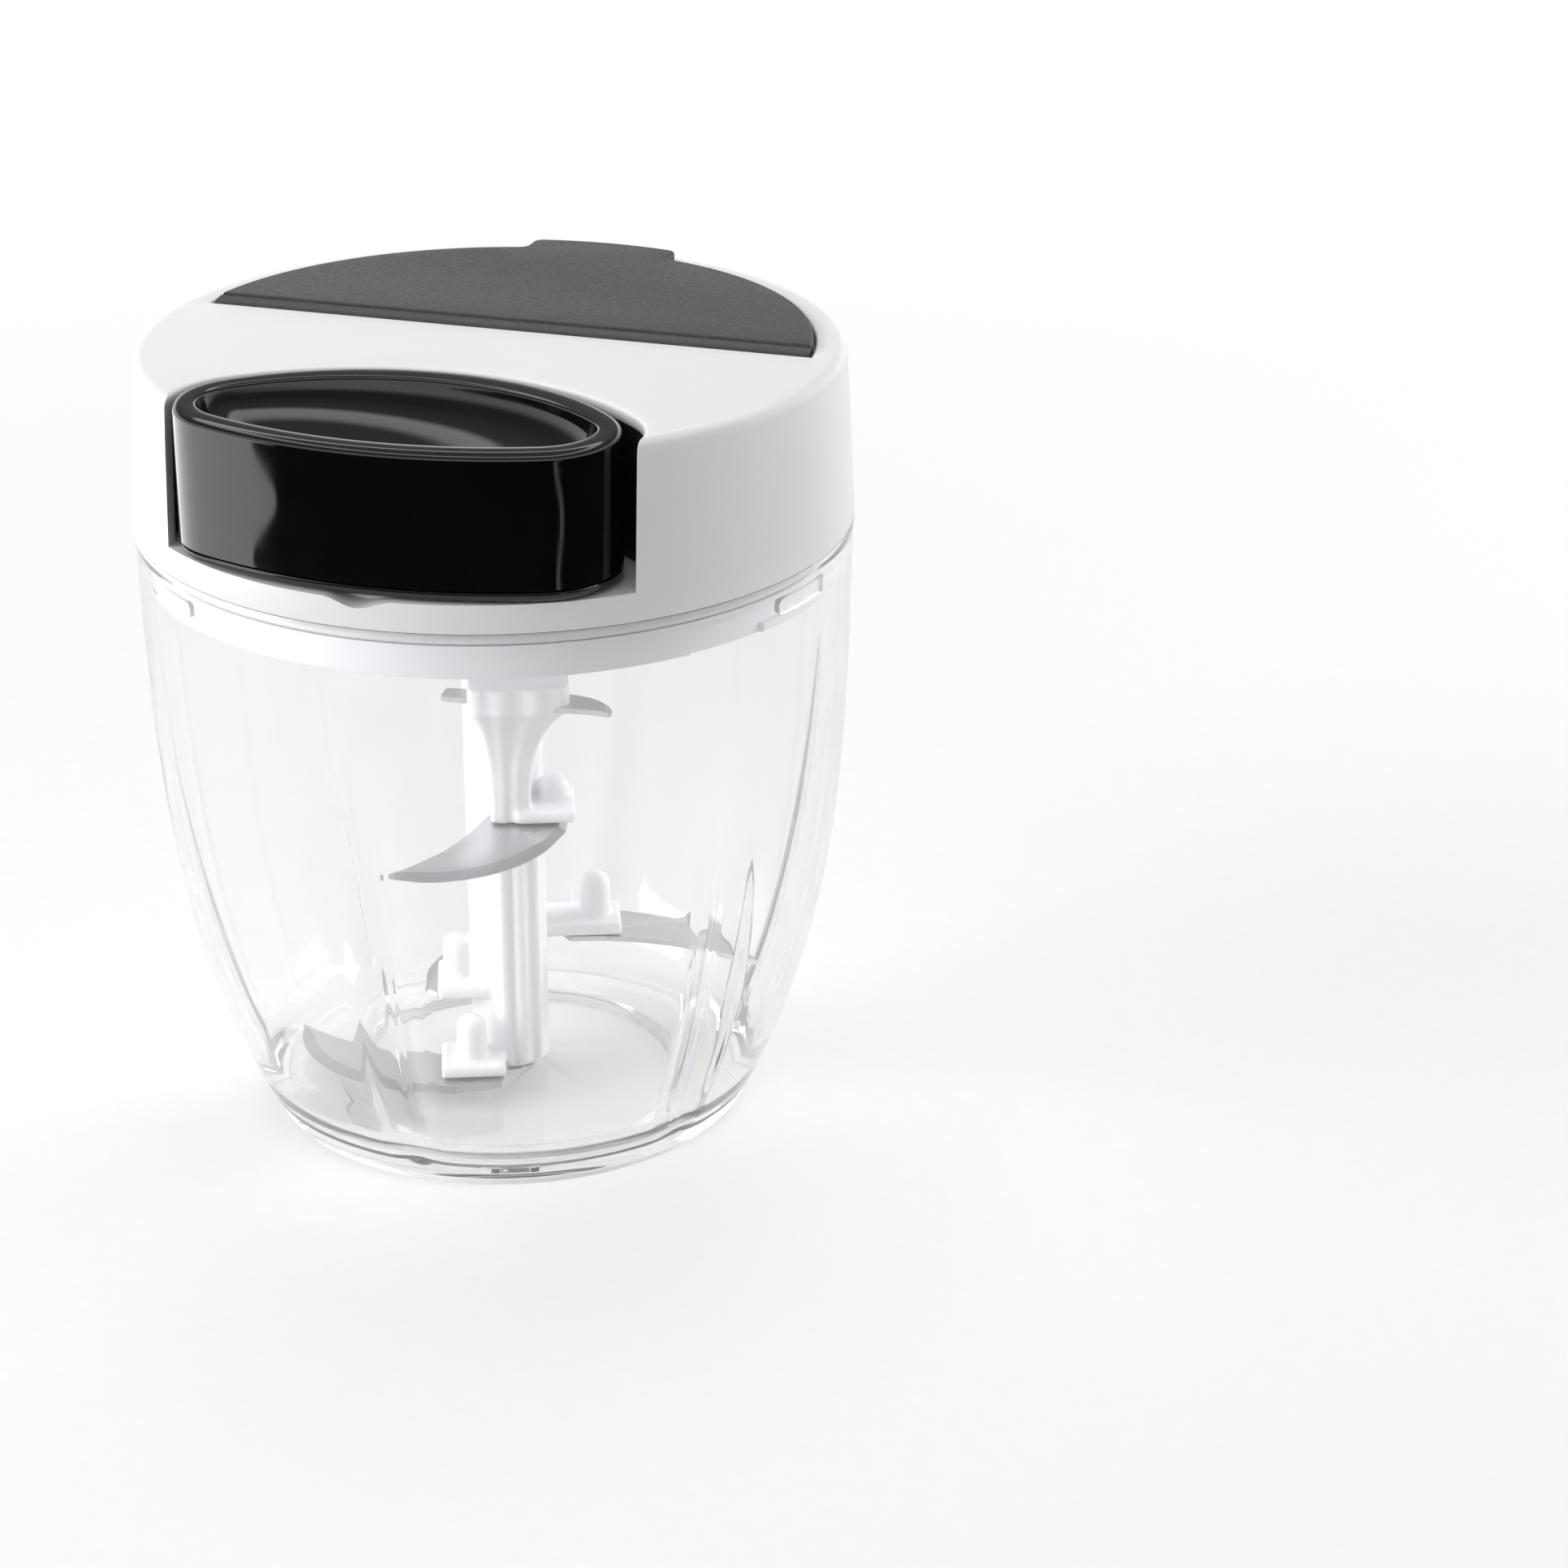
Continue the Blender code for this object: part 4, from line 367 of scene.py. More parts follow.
class Tree:
    """A material's node tree, with short ways to add, set and link nodes."""

    def __init__(self, name: str) -> None:
        """Start a material with a Principled shader and Object coordinates."""
        self.material = bpy.data.materials.new(name)
        self.material.use_nodes = True
        self.nodes = self.material.node_tree.nodes
        self.links = self.material.node_tree.links
        self.shader = self.nodes["Principled BSDF"]
        self.output = self.nodes["Material Output"]
        self.place = self.nodes.new("ShaderNodeTexCoord").outputs["Object"]

    def add(self, kind: str, **settings: object) -> bpy.types.Node:
        """Add a node and set its properties."""
        node = self.nodes.new(kind)
        for key, value in settings.items():
            setattr(node, key, value)
        return node

    def link(self, source: bpy.types.NodeSocket, target: bpy.types.NodeSocket) -> None:
        """Link two sockets."""
        self.links.new(source, target)

    def constant(self, **values: object) -> None:
        """Set constants on the shader's own sockets, by their names with _ for a space."""
        for key, value in values.items():
            self.shader.inputs[key.replace("_", " ")].default_value = value

    def mapped(self, scale: Sequence[float], turn: Sequence[float] = (0.0, 0.0, 0.0),
               source: Optional[bpy.types.NodeSocket] = None) -> bpy.types.NodeSocket:
        """Scaled and turned coordinates.

        Args:
            scale: Scale along each axis.
            turn: Turn about each axis, in degrees.
            source: The coordinates to start from, Object coordinates if left out.

        Returns:
            The new coordinates.
        """
        node = self.add("ShaderNodeMapping")
        node.inputs["Scale"].default_value = scale
        node.inputs["Rotation"].default_value = [math.radians(angle) for angle in turn]
        self.link(source or self.place, node.inputs["Vector"])
        return node.outputs["Vector"]

    def noise(self, size: float, detail: float = 2.0, source: Optional[bpy.types.NodeSocket] = None,
              roughness: float = 0.5) -> bpy.types.NodeSocket:
        """Noise of a real feature size.

        Args:
            size: Feature size in the units of the coordinates.
            detail: Octaves.
            source: The coordinates, Object coordinates if left out.
            roughness: How strong the finer octaves are.

        Returns:
            The value from about 0.3 to 0.7.
        """
        node = self.add("ShaderNodeTexNoise")
        node.inputs["Scale"].default_value = 1.0 / size
        node.inputs["Detail"].default_value = detail
        node.inputs["Roughness"].default_value = roughness
        self.link(source or self.place, node.inputs["Vector"])
        return node.outputs["Fac"]

    def ranged(self, value: bpy.types.NodeSocket, low: float, high: float, start: float = 0.3,
               end: float = 0.7) -> bpy.types.NodeSocket:
        """Map a value from start and end to low and high, held at both."""
        node = self.add("ShaderNodeMapRange", clamp=True)
        for key, number in (("From Min", start), ("From Max", end),
                            ("To Min", low), ("To Max", high)):
            node.inputs[key].default_value = number
        self.link(value, node.inputs["Value"])
        return node.outputs["Result"]

    def maths(self, operation: str, first: bpy.types.NodeSocket,
              second: object = 0.0) -> bpy.types.NodeSocket:
        """A Math node on a value and another value or a number."""
        node = self.add("ShaderNodeMath", operation=operation)
        self.link(first, node.inputs[0])
        if isinstance(second, (int, float)):
            node.inputs[1].default_value = second
        else:
            self.link(second, node.inputs[1])
        return node.outputs[0]

    def mixed(self, share: bpy.types.NodeSocket, first: Colour,
              second: Colour) -> bpy.types.NodeSocket:
        """Blend two colours by a share."""
        node = self.add("ShaderNodeMix", data_type="RGBA")
        for socket in node.inputs:
            if socket.type == "RGBA" and socket.name == "A":
                socket.default_value = (*first, 1.0)
            if socket.type == "RGBA" and socket.name == "B":
                socket.default_value = (*second, 1.0)
        self.link(share, node.inputs[0])
        return next(socket for socket in node.outputs if socket.type == "RGBA")

    def bumped(self, height: bpy.types.NodeSocket, depth: float, strength: float = 1.0,
               under: Optional[bpy.types.NodeSocket] = None) -> bpy.types.NodeSocket:
        """A Bump node.

        Args:
            height: The height, from 0 to 1.
            depth: How deep a height of 1 is, in metres.
            strength: Share of the bump that shows.
            under: A normal to start from.

        Returns:
            The bumped normal.
        """
        node = self.add("ShaderNodeBump")
        node.inputs["Strength"].default_value = strength
        node.inputs["Distance"].default_value = depth
        self.link(height, node.inputs["Height"])
        if under is not None:
            self.link(under, node.inputs["Normal"])
        return node.outputs["Normal"]

    def dress_shader(self, colour: bpy.types.NodeSocket, roughness: bpy.types.NodeSocket,
                     normal: bpy.types.NodeSocket) -> bpy.types.Material:
        """Link colour, roughness and normal to the shader and give the material back."""
        self.link(colour, self.shader.inputs["Base Color"])
        self.link(roughness, self.shader.inputs["Roughness"])
        self.link(normal, self.shader.inputs["Normal"])
        return self.material


@dataclass(frozen=True)
class MouldedPlastic:
    """Opaque moulded plastic: a fine grain, soft flow marks and slightly uneven gloss."""

    name: str
    colour: Colour
    flow: Colour
    roughness: Tuple[float, float]
    grain: float = 0.35 * MM
    depth: float = 0.004 * MM
    glow: float = 0.0

    def material(self) -> bpy.types.Material:
        """Build the material."""
        tree = Tree(self.name)
        tree.constant(IOR=1.5, Subsurface_Weight=self.glow, Subsurface_Scale=1.5 * MM,
                      Subsurface_Radius=(1.0, 0.95, 0.92))
        colour = tree.mixed(tree.ranged(tree.noise(22 * MM, 3.0), 0.0, 1.0), self.colour, self.flow)
        gloss = tree.ranged(tree.noise(9 * MM, 2.0), *self.roughness)
        soft = tree.bumped(tree.noise(18 * MM, 1.0), 0.02 * MM, 0.12)
        normal = tree.bumped(tree.noise(self.grain, 2.0), self.depth, 0.04, soft)
        return tree.dress_shader(colour, gloss, normal)


@dataclass(frozen=True)
class GlossPlastic:
    """Polished black plastic with hairline polishing marks and a trace of handling."""

    name: str
    colour: Colour
    worn: Colour
    roughness: Tuple[float, float] = (0.035, 0.075)

    def material(self) -> bpy.types.Material:
        """Build the material."""
        tree = Tree(self.name)
        tree.constant(IOR=1.5)
        marks = tree.noise(1.0, 3.0, tree.mapped((60.0, 2600.0, 900.0), (8.0, 0.0, 14.0)))
        colour = tree.mixed(tree.ranged(tree.noise(14 * MM, 3.0), 0.0, 1.0), self.colour, self.worn)
        gloss = tree.ranged(tree.noise(7 * MM, 5.0, roughness=0.7), *self.roughness)
        sag = tree.bumped(tree.noise(16 * MM, 1.0), 0.05 * MM, 0.25)
        normal = tree.bumped(marks, 0.0006 * MM, 0.5, sag)
        return tree.dress_shader(colour, gloss, normal)


@dataclass(frozen=True)
class SparkedPlastic:
    """Dark plastic with the grain of a spark eroded mould."""

    name: str
    colour: Colour
    fleck: Colour
    grain: float = 0.26 * MM
    depth: float = 0.035 * MM
    roughness: Tuple[float, float] = (0.42, 0.60)

    def material(self) -> bpy.types.Material:
        """Build the material."""
        tree = Tree(self.name)
        tree.constant(IOR=1.5)
        pits = tree.noise(self.grain, 3.0, roughness=0.6)
        cloud = tree.ranged(tree.noise(0.7 * MM, 4.0, roughness=0.75), 0.0, 1.0, 0.36, 0.66)
        colour = tree.mixed(cloud, self.colour, self.fleck)
        gloss = tree.ranged(tree.noise(self.grain * 2.0, 2.0), *self.roughness)
        normal = tree.bumped(pits, self.depth, 0.7)
        return tree.dress_shader(colour, gloss, normal)


@dataclass(frozen=True)
class ClearPlastic:
    """Clear moulded plastic, faintly wavy, with the finest scuffs in its gloss."""

    name: str
    tint: Colour
    cloud: Colour
    ior: float = 1.47
    clarity: float = 0.93
    roughness: Tuple[float, float] = (0.0, 0.03)

    def material(self) -> bpy.types.Material:
        """Build the material."""
        tree = Tree(self.name)
        tree.constant(IOR=self.ior, Transmission_Weight=self.clarity)
        colour = tree.mixed(tree.ranged(tree.noise(30 * MM, 2.0), 0.0, 1.0), self.tint, self.cloud)
        gloss = tree.ranged(tree.noise(12 * MM, 5.0, roughness=0.7), *self.roughness)
        normal = tree.bumped(tree.noise(14 * MM, 1.0), 0.03 * MM, 0.25)
        return tree.dress_shader(colour, gloss, normal)


@dataclass(frozen=True)
class Silicone:
    """Milky rubber: soft sheen, light passes a little way in, fine surface dust."""

    name: str
    colour: Colour
    dust: Colour
    glow: float = 0.35

    def material(self) -> bpy.types.Material:
        """Build the material."""
        tree = Tree(self.name)
        tree.constant(IOR=1.42, Subsurface_Weight=self.glow, Subsurface_Scale=2.0 * MM,
                      Subsurface_Radius=(1.0, 0.92, 0.85))
        colour = tree.mixed(tree.ranged(tree.noise(3 * MM, 4.0), 0.0, 1.0), self.colour, self.dust)
        gloss = tree.ranged(tree.noise(1.5 * MM, 3.0), 0.42, 0.6)
        normal = tree.bumped(tree.noise(0.5 * MM, 2.0), 0.01 * MM, 0.5)
        return tree.dress_shader(colour, gloss, normal)


@dataclass(frozen=True)
class BrushedSteel:
    """Stainless strip brushed along its length, read from the piece's own UV map in metres."""

    name: str
    colour: Colour
    streak: Colour
    roughness: Tuple[float, float]
    stretch: Tuple[float, float]
    depth: float = 0.002 * MM

    def material(self) -> bpy.types.Material:
        """Build the material."""
        tree = Tree(self.name)
        tree.constant(Metallic=1.0)
        strip = tree.add("ShaderNodeUVMap", uv_map="strip").outputs["UV"]
        lines = tree.noise(1.0, 4.0, tree.mapped((*self.stretch, 1.0), source=strip), 0.65)
        cloud = tree.noise(6 * MM, 3.0)
        colour = tree.mixed(tree.ranged(lines, 0.0, 1.0), self.colour, self.streak)
        gloss = tree.ranged(tree.maths("MULTIPLY", lines, cloud), *self.roughness, 0.12, 0.4)
        normal = tree.bumped(lines, self.depth, 0.7)
        return tree.dress_shader(colour, gloss, normal)


@dataclass(frozen=True)
class TurnedSteel:
    """Plain machined steel: fine turning rings and a little staining."""

    name: str
    colour: Colour
    stain: Colour
    roughness: Tuple[float, float] = (0.18, 0.34)

    def material(self) -> bpy.types.Material:
        """Build the material."""
        tree = Tree(self.name)
        tree.constant(Metallic=1.0)
        rings = tree.add("ShaderNodeTexWave", wave_type="RINGS", rings_direction="Z")
        rings.inputs["Scale"].default_value = 900.0
        rings.inputs["Distortion"].default_value = 1.5
        tree.link(tree.place, rings.inputs["Vector"])
        colour = tree.mixed(tree.ranged(tree.noise(2 * MM, 4.0), 0.0, 1.0), self.colour, self.stain)
        gloss = tree.ranged(tree.noise(1.2 * MM, 3.0), *self.roughness)
        normal = tree.bumped(rings.outputs["Fac"], 0.003 * MM, 0.4)
        return tree.dress_shader(colour, gloss, normal)


@dataclass(frozen=True)
class BraidedFibre:
    """Braided cord: two sets of strands that cross, with painted shade in the gaps between them, read from
    the cord's own UV map.
    """

    name: str
    colour: Colour
    shade: Colour

    def material(self) -> bpy.types.Material:
        """Build the material."""
        tree = Tree(self.name)
        tree.constant(Sheen_Weight=0.3)
        split = tree.add("ShaderNodeSeparateXYZ")
        tree.link(tree.add("ShaderNodeUVMap", uv_map="braid").outputs["UV"], split.inputs[0])
        along = tree.maths("MULTIPLY", split.outputs["X"], math.tau)
        round_it = tree.maths("MULTIPLY", split.outputs["Y"], math.tau * 4.0)
        left = tree.maths("SINE", tree.maths("ADD", along, round_it))
        right = tree.maths("SINE", tree.maths("SUBTRACT", along, round_it))
        strands = tree.ranged(tree.maths("MAXIMUM", left, right), 0.0, 1.0, -0.3, 1.0)
        # Painted shade: the colour turns to the dark second colour in the gaps where the strands part.
        colour = tree.mixed(strands, self.shade, self.colour)
        fuzz = tree.noise(0.12 * MM, 2.0)
        gloss = tree.ranged(fuzz, 0.7, 0.9)
        normal = tree.bumped(strands, 0.15 * MM, 0.8, tree.bumped(fuzz, 0.03 * MM, 0.6))
        return tree.dress_shader(colour, gloss, normal)


@dataclass(frozen=True)
class WoundFibre:
    """Cord wound in level turns on a drum, read from Object coordinates, with painted shade between the
    turns.
    """

    name: str
    colour: Colour
    shade: Colour
    pitch: float = 1.8 * MM

    def material(self) -> bpy.types.Material:
        """Build the material."""
        tree = Tree(self.name)
        bands = tree.add("ShaderNodeTexWave", wave_type="BANDS", bands_direction="Z")
        bands.inputs["Scale"].default_value = 0.314 / self.pitch
        bands.inputs["Distortion"].default_value = 0.4
        tree.link(tree.place, bands.inputs["Vector"])
        strands = tree.noise(0.5 * MM, 3.0)
        # Darker between the turns, which is painted shade, and darker at random along the strands.
        turns = tree.maths("MULTIPLY", bands.outputs["Fac"], strands)
        colour = tree.mixed(tree.ranged(turns, 0.0, 1.0, 0.0, 0.6), self.shade, self.colour)
        gloss = tree.ranged(strands, 0.7, 0.9)
        normal = tree.bumped(bands.outputs["Fac"], 0.4 * MM, 0.8,
                             tree.bumped(strands, 0.1 * MM, 0.6))
        return tree.dress_shader(colour, gloss, normal)


class Palette:
    """Every finish of the object, each made once."""

    def __init__(self) -> None:
        """Make the materials."""
        self.white = MouldedPlastic("white_abs", (0.85, 0.85, 0.872), (0.842, 0.842, 0.865), (0.33, 0.37),
                                    glow=0.05).material()
        self.soft_white = MouldedPlastic("soft_white_nylon", (0.90, 0.90, 0.912), (0.885, 0.885, 0.90),
                                         (0.30, 0.36), grain=0.5 * MM, glow=0.25).material()
        self.matt_black = MouldedPlastic("matt_black_liner", (0.008, 0.008, 0.009), (0.012, 0.012, 0.013),
                                         (0.45, 0.6)).material()
        self.gloss_black = GlossPlastic("piano_black", (0.0025, 0.0025, 0.003),
                                        (0.004, 0.004, 0.0045)).material()
        self.sparked = SparkedPlastic("sparked_grey", (0.020, 0.020, 0.022),
                                      (0.040, 0.040, 0.043)).material()
        self.clear = ClearPlastic("clear_bowl_plastic", (0.945, 0.948, 0.955),
                                  (0.935, 0.938, 0.946)).material()
        self.pale_seal = Silicone("pale_seal_silicone", (0.86, 0.86, 0.87),
                                  (0.88, 0.88, 0.885)).material()
        self.milky = Silicone("milky_silicone", (0.80, 0.775, 0.73), (0.84, 0.82, 0.79)).material()
        self.blade = BrushedSteel("blade_steel", (0.66, 0.66, 0.67), (0.58, 0.58, 0.59), (0.26, 0.42),
                                  (40.0, 1800.0)).material()
        # The ground bevel: its cross grinding and rougher gloss are its own, its darker colour is painted
        # shade for the dark band along the cutting edge.
        self.ground = BrushedSteel("ground_edge_painted_shade", (0.42, 0.42, 0.43), (0.50, 0.50, 0.51), (0.30, 0.45),
                                   (2400.0, 60.0), 0.004 * MM).material()
        self.steel = TurnedSteel("machined_steel", (0.62, 0.62, 0.63),
                                 (0.52, 0.52, 0.52)).material()
        self.spring = TurnedSteel("spring_steel", (0.34, 0.35, 0.38), (0.24, 0.24, 0.27),
                                  (0.25, 0.4)).material()
        # The braided cord's second colour is painted shade for the gaps between its strands.
        self.braid = BraidedFibre("braided_cord", (0.80, 0.80, 0.78), (0.45, 0.45, 0.44)).material()
        # The wound cord's second colour is painted shade for the grooves between its turns.
        self.wound = WoundFibre("wound_cord", (0.80, 0.80, 0.78), (0.42, 0.42, 0.41)).material()


# Sizes that more than one assembly uses


@dataclass(frozen=True)
class Sizes:
    """Shared sizes of the object, in metres."""

    seam: float = 116.0 * MM
    rim_radius: float = 65.0 * MM
    base_radius: float = 43.9 * MM
    draft: float = 2.6 * MM
    belly_power: float = 3.3
    bowl_wall: float = 2.2 * MM
    lid_top: float = 147.4 * MM
    lid_top_radius: float = 63.5 * MM
    lid_wall: float = 2.2 * MM
    skirt_low: float = 107.0 * MM
    plate_top: float = 109.0 * MM
    dock_floor: float = 121.1 * MM
    handle_low: float = 121.6 * MM
    handle_top: float = 147.6 * MM
    cord_height: float = 133.7 * MM
    lug_centre: float = -12.0
    lug_pitch: float = 120.0
    lug_count: int = 3
    lug_half_angle: float = 7.0
    lug_top: float = 112.0 * MM
    lug_height: float = 3.0 * MM
    lid_twist: float = 18.0
    shaft_turn: float = 21.5
    flap_top: float = 148.5 * MM
    flap_under: float = 145.9 * MM
    flap_radius: float = 57.4 * MM
    flap_chord: float = 7.2 * MM
    flap_axis_y: float = 8.95 * MM
    flap_axis_z: float = 146.4 * MM
    tab_half: float = 14.2 * MM
    fill_chord: float = 25.0 * MM
    fill_radius: float = 49.0 * MM
    pocket_floor: float = 144.2 * MM
    screw_angles: Tuple[float, ...] = (-58.0, -122.0, 4.0, 176.0)
    screw_inset: float = 8.2 * MM

    def bowl_radius(self, z: float) -> float:
        """Outer radius of the bowl at a height."""
        share = max(0.0, min(1.0, z / self.seam))
        belly = self.rim_radius - self.base_radius - self.draft
        return self.base_radius + belly * (1.0 - (1.0 - share) ** self.belly_power) + self.draft * share

    def lid_radius(self, z: float) -> float:
        """Outer radius of the lid housing at a height."""
        share = (z - self.seam) / (self.lid_top - self.seam)
        return self.rim_radius + (self.lid_top_radius - self.rim_radius) * share

    def skirt_radius(self) -> float:
        """Outer radius of the skirt that reaches into the bowl."""
        return self.bowl_radius(self.skirt_low) - self.bowl_wall - 0.5 * MM


SIZES = Sizes()


@dataclass(frozen=True)
class Lens:
    """The handle's plan: a flat front arc, a rounder back arc and round ends."""

    centre_y: float = -45.0 * MM
    half_span: float = 25.5 * MM
    end_radius: float = 14.2 * MM
    front_sag: float = 5.0 * MM
    back_sag: float = 10.8 * MM
    dock_shift: float = 1.3 * MM
    dock_gap: float = 0.8 * MM
    dock_end_gap: float = 1.8 * MM
    dock_front: float = -70.0 * MM
    ends: int = 14
    sides: int = 22

    def outline(self, grow: float = 0.0, grow_ends: float = 0.0) -> List[Point]:
        """The plan's outline.

        Args:
            grow: How far every side moves outwards.
            grow_ends: How far the round ends move apart on top of that.

        Returns:
            Points from the front left corner, anticlockwise.
        """
        span = self.half_span + grow_ends
        radius = self.end_radius + grow
        front = (span ** 2 + self.front_sag ** 2) / (2 * self.front_sag)
        back = (span ** 2 + self.back_sag ** 2) / (2 * self.back_sag)
        front_angle = math.degrees(math.asin(span / front))
        back_angle = math.degrees(math.asin(span / back))
        front_centre = (0.0, self.centre_y + front - self.front_sag)
        back_centre = (0.0, self.centre_y - back + self.back_sag)
        points = arc(front_centre, front + radius, -90.0 - front_angle, -90.0 + front_angle,
                     self.sides)
        points += arc((span, self.centre_y), radius, -90.0 + front_angle, 90.0 - back_angle,
                      self.ends)[1:]
        points += arc(back_centre, back + radius, 90.0 - back_angle, 90.0 + back_angle,
                      self.sides)[1:]
        points += arc((-span, self.centre_y), radius, 90.0 + back_angle, 270.0 - front_angle,
                      self.ends)[1:-1]
        return points

    def dock(self, grow: float = 0.0) -> List[Point]:
        """The dock's plan, open at the front."""
        outline = self.outline(self.dock_gap + grow, self.dock_end_gap)
        back = sorted(point for point in outline if point[1] >= self.centre_y)
        reach = back[-1][0]
        plan = [(-reach, self.dock_front), (reach, self.dock_front)] + back[::-1]
        return [(x + self.dock_shift, y) for x, y in plan]

    def ring(self, grow: float, z: float) -> List[Vector]:
        """The outline at a height."""
        return [Vector((x, y, z)) for x, y in self.outline(grow)]


LENS = Lens()


def hexagon(radius: float, turn: float = 0.0) -> List[Point]:
    """A hexagon's outline from the radius of its corners and its turn in degrees."""
    return [tuple(polar(radius, turn + 60.0 * index).xy) for index in range(6)]


def half_moon(chord: float, radius: float, count: int = 96) -> List[Point]:
    """The outline of the part of a disc that lies behind a chord."""
    start = math.degrees(math.asin(chord / radius))
    return arc((0.0, 0.0), radius, start, 180.0 - start, count)


def with_mouth(outline_at: Callable[[float], List[Point]], low: float, deck: float,
               edge: float) -> bmesh.types.BMesh:
    """A cutter that leaves a rounded edge where it breaks through a deck.

    Args:
        outline_at: A function from a growth to an outline.
        low: The cutter's lowest level.
        deck: The level of the deck.
        edge: Radius of the edge that it leaves.

    Returns:
        The cutter.
    """
    steps = 5
    rings = [[Vector((x, y, low)) for x, y in outline_at(0.0)]]
    for index in range(steps + 1):
        angle = math.pi / 2 * index / steps
        grow = edge * (1.0 - math.cos(angle))
        level = deck - edge + edge * math.sin(angle)
        rings.append([Vector((x, y, level)) for x, y in outline_at(grow)])
    rings.append([Vector((x, y, deck + PAST)) for x, y in outline_at(edge)])
    return lofted(rings)


# Bowl


@dataclass
class Bowl:
    """The clear bowl with six pressed ribs, its foot ring and its steel pivot."""

    floor_top: float = 4.8 * MM
    floor_under: float = 2.4 * MM
    foot: float = 0.6 * MM
    floor_radius: float = 37.8 * MM
    fillet_top: float = 13.9 * MM
    ring_outer: float = 41.0 * MM
    ring_inner: float = 33.0 * MM
    bead: float = 0.22 * MM
    bead_height: float = 1.2 * MM
    rim_gap: float = 0.03 * MM
    pin_bore: float = 2.8 * MM
    boss_height: float = 1.6 * MM
    still_radius: float = 8.0 * MM
    rib_count: int = 6
    rib_depth: float = 2.6 * MM
    rib_half_angle: float = 7.0
    rib_crest: float = 0.15
    rib_soft: float = 0.30
    rib_top: float = 100.0 * MM
    rib_arch: float = 16.0 * MM
    rib_full: float = 30.0 * MM
    rib_low: float = 5.5 * MM
    rib_foot: float = 9.0 * MM
    column_gather: float = 1.6
    columns: int = 336
    levels: int = 44
    ring_steps: int = 160

    def outer(self, z: float) -> float:
        """Outer radius with the step under the rim's bead."""
        step = smooth_step((SIZES.seam - self.bead_height - z) / (1.8 * MM))
        fade = smooth_step((z - 40.0 * MM) / (60.0 * MM))
        return SIZES.bowl_radius(z) - self.bead * step * fade

    def profile(self) -> List[Point]:
        """The wall, foot, groove, pivot boss and floor as one closed profile."""
        rim = SIZES.seam - self.rim_gap
        wall = SIZES.bowl_wall
        high, low = rim - 0.5 * MM, 9.0 * MM
        heights = [high - (high - low) * (i / self.levels) for i in range(self.levels + 1)]
        fine = [rim - 1.0 * MM, rim - 1.5 * MM, rim - 1.9 * MM, rim - 2.3 * MM]
        heights = sorted(set(heights + fine), reverse=True)
        outer = [(self.outer(rim) - 0.3 * MM, rim), (self.outer(rim) - 0.08 * MM, rim - 0.08 * MM)]
        outer += [(self.outer(z), z) for z in heights]
        outer += [(self.outer(z * MM), z * MM) for z in (7.4, 5.9, 4.5, 3.3, 2.2)]
        outer += [(self.outer(1.4 * MM) - 0.05 * MM, 1.4 * MM),
                  (self.outer(0.8 * MM) - 0.35 * MM, 0.85 * MM),
                  (self.outer(self.foot) - 0.8 * MM, self.foot)]
        groove_out = self.ring_outer + 0.3 * MM
        groove_in = self.ring_inner - 0.3 * MM
        under = [(groove_out, self.foot), (groove_out, self.floor_under), (groove_in, self.floor_under),
                 (groove_in, self.foot), (groove_in - 2.0 * MM, self.foot),
                 (groove_in - 2.0 * MM, self.floor_under), (0.0, self.floor_under)]
        boss, bore, bore_low = self.floor_top + self.boss_height, self.pin_bore, 3.2 * MM
        inside = [(0.0, bore_low), (bore, bore_low), (bore, boss), (4.1 * MM, boss),
                  (4.4 * MM, boss - 0.3 * MM), (4.7 * MM, self.floor_top),
                  (self.floor_radius, self.floor_top)]
        top_radius = self.outer(self.fillet_top) - wall
        fillet_steps = 10
        for index in range(1, fillet_steps):
            angle = math.pi / 2 * index / fillet_steps
            share = math.sin(angle) ** 1.15
            lift = 1.0 - math.cos(angle) ** 0.9
            inside.append((self.floor_radius + (top_radius - self.floor_radius) * share,
                           self.floor_top + (self.fillet_top - self.floor_top) * lift))
        inside += [(self.outer(z) - wall, z) for z in reversed(heights) if z > self.fillet_top]
        inside += [(self.outer(rim) - wall + 0.15 * MM, rim - 0.15 * MM),
                   (self.outer(rim) - wall + 0.5 * MM, rim)]
        return outer + under + inside

    def rib_reach(self, z: float, offset: float) -> float:
        """How far the wall is pressed inwards.

        Args:
            z: The height.
            offset: Angle from the rib's middle, in degrees.

        Returns:
            The depth of the rib there.
        """
        side = abs(offset) / self.rib_half_angle
        if side >= 1.0 or z <= self.floor_top:
            return 0.0
        flank = max(0.0, side - self.rib_crest) / (1.0 - self.rib_crest)
        arch = self.rib_top - self.rib_arch * side ** 2
        rise = smooth_step((arch - z) / (self.rib_top - self.rib_full))
        foot = smooth_step((z - self.rib_low) / self.rib_foot)
        climb = 1.0 - flank
        soft = self.rib_soft
        slope = climb - soft / 2 if climb > soft else climb ** 2 / (2 * soft)
        return self.rib_depth * rise * foot * slope / (1.0 - soft / 2)

    def press_ribs(self, bm: bmesh.types.BMesh) -> None:
        """Gather the columns round each rib and press the wall inwards there."""
        per_rib = self.columns // self.rib_count
        pitch = 360.0 / self.rib_count
        for vert in bm.verts:
            radius = vert.co.xy.length
            if radius < self.still_radius:
                continue
            column = round(math.degrees(math.atan2(vert.co.y, vert.co.x)) / (360.0 / self.columns))
            rib, step = divmod(column + per_rib // 2, per_rib)
            step -= per_rib // 2
            offset = math.copysign((abs(step) * 2 / per_rib) ** self.column_gather * pitch / 2, step)
            radius -= self.rib_reach(vert.co.z, offset)
            vert.co = polar(radius, -90.0 + rib * pitch + offset, vert.co.z)

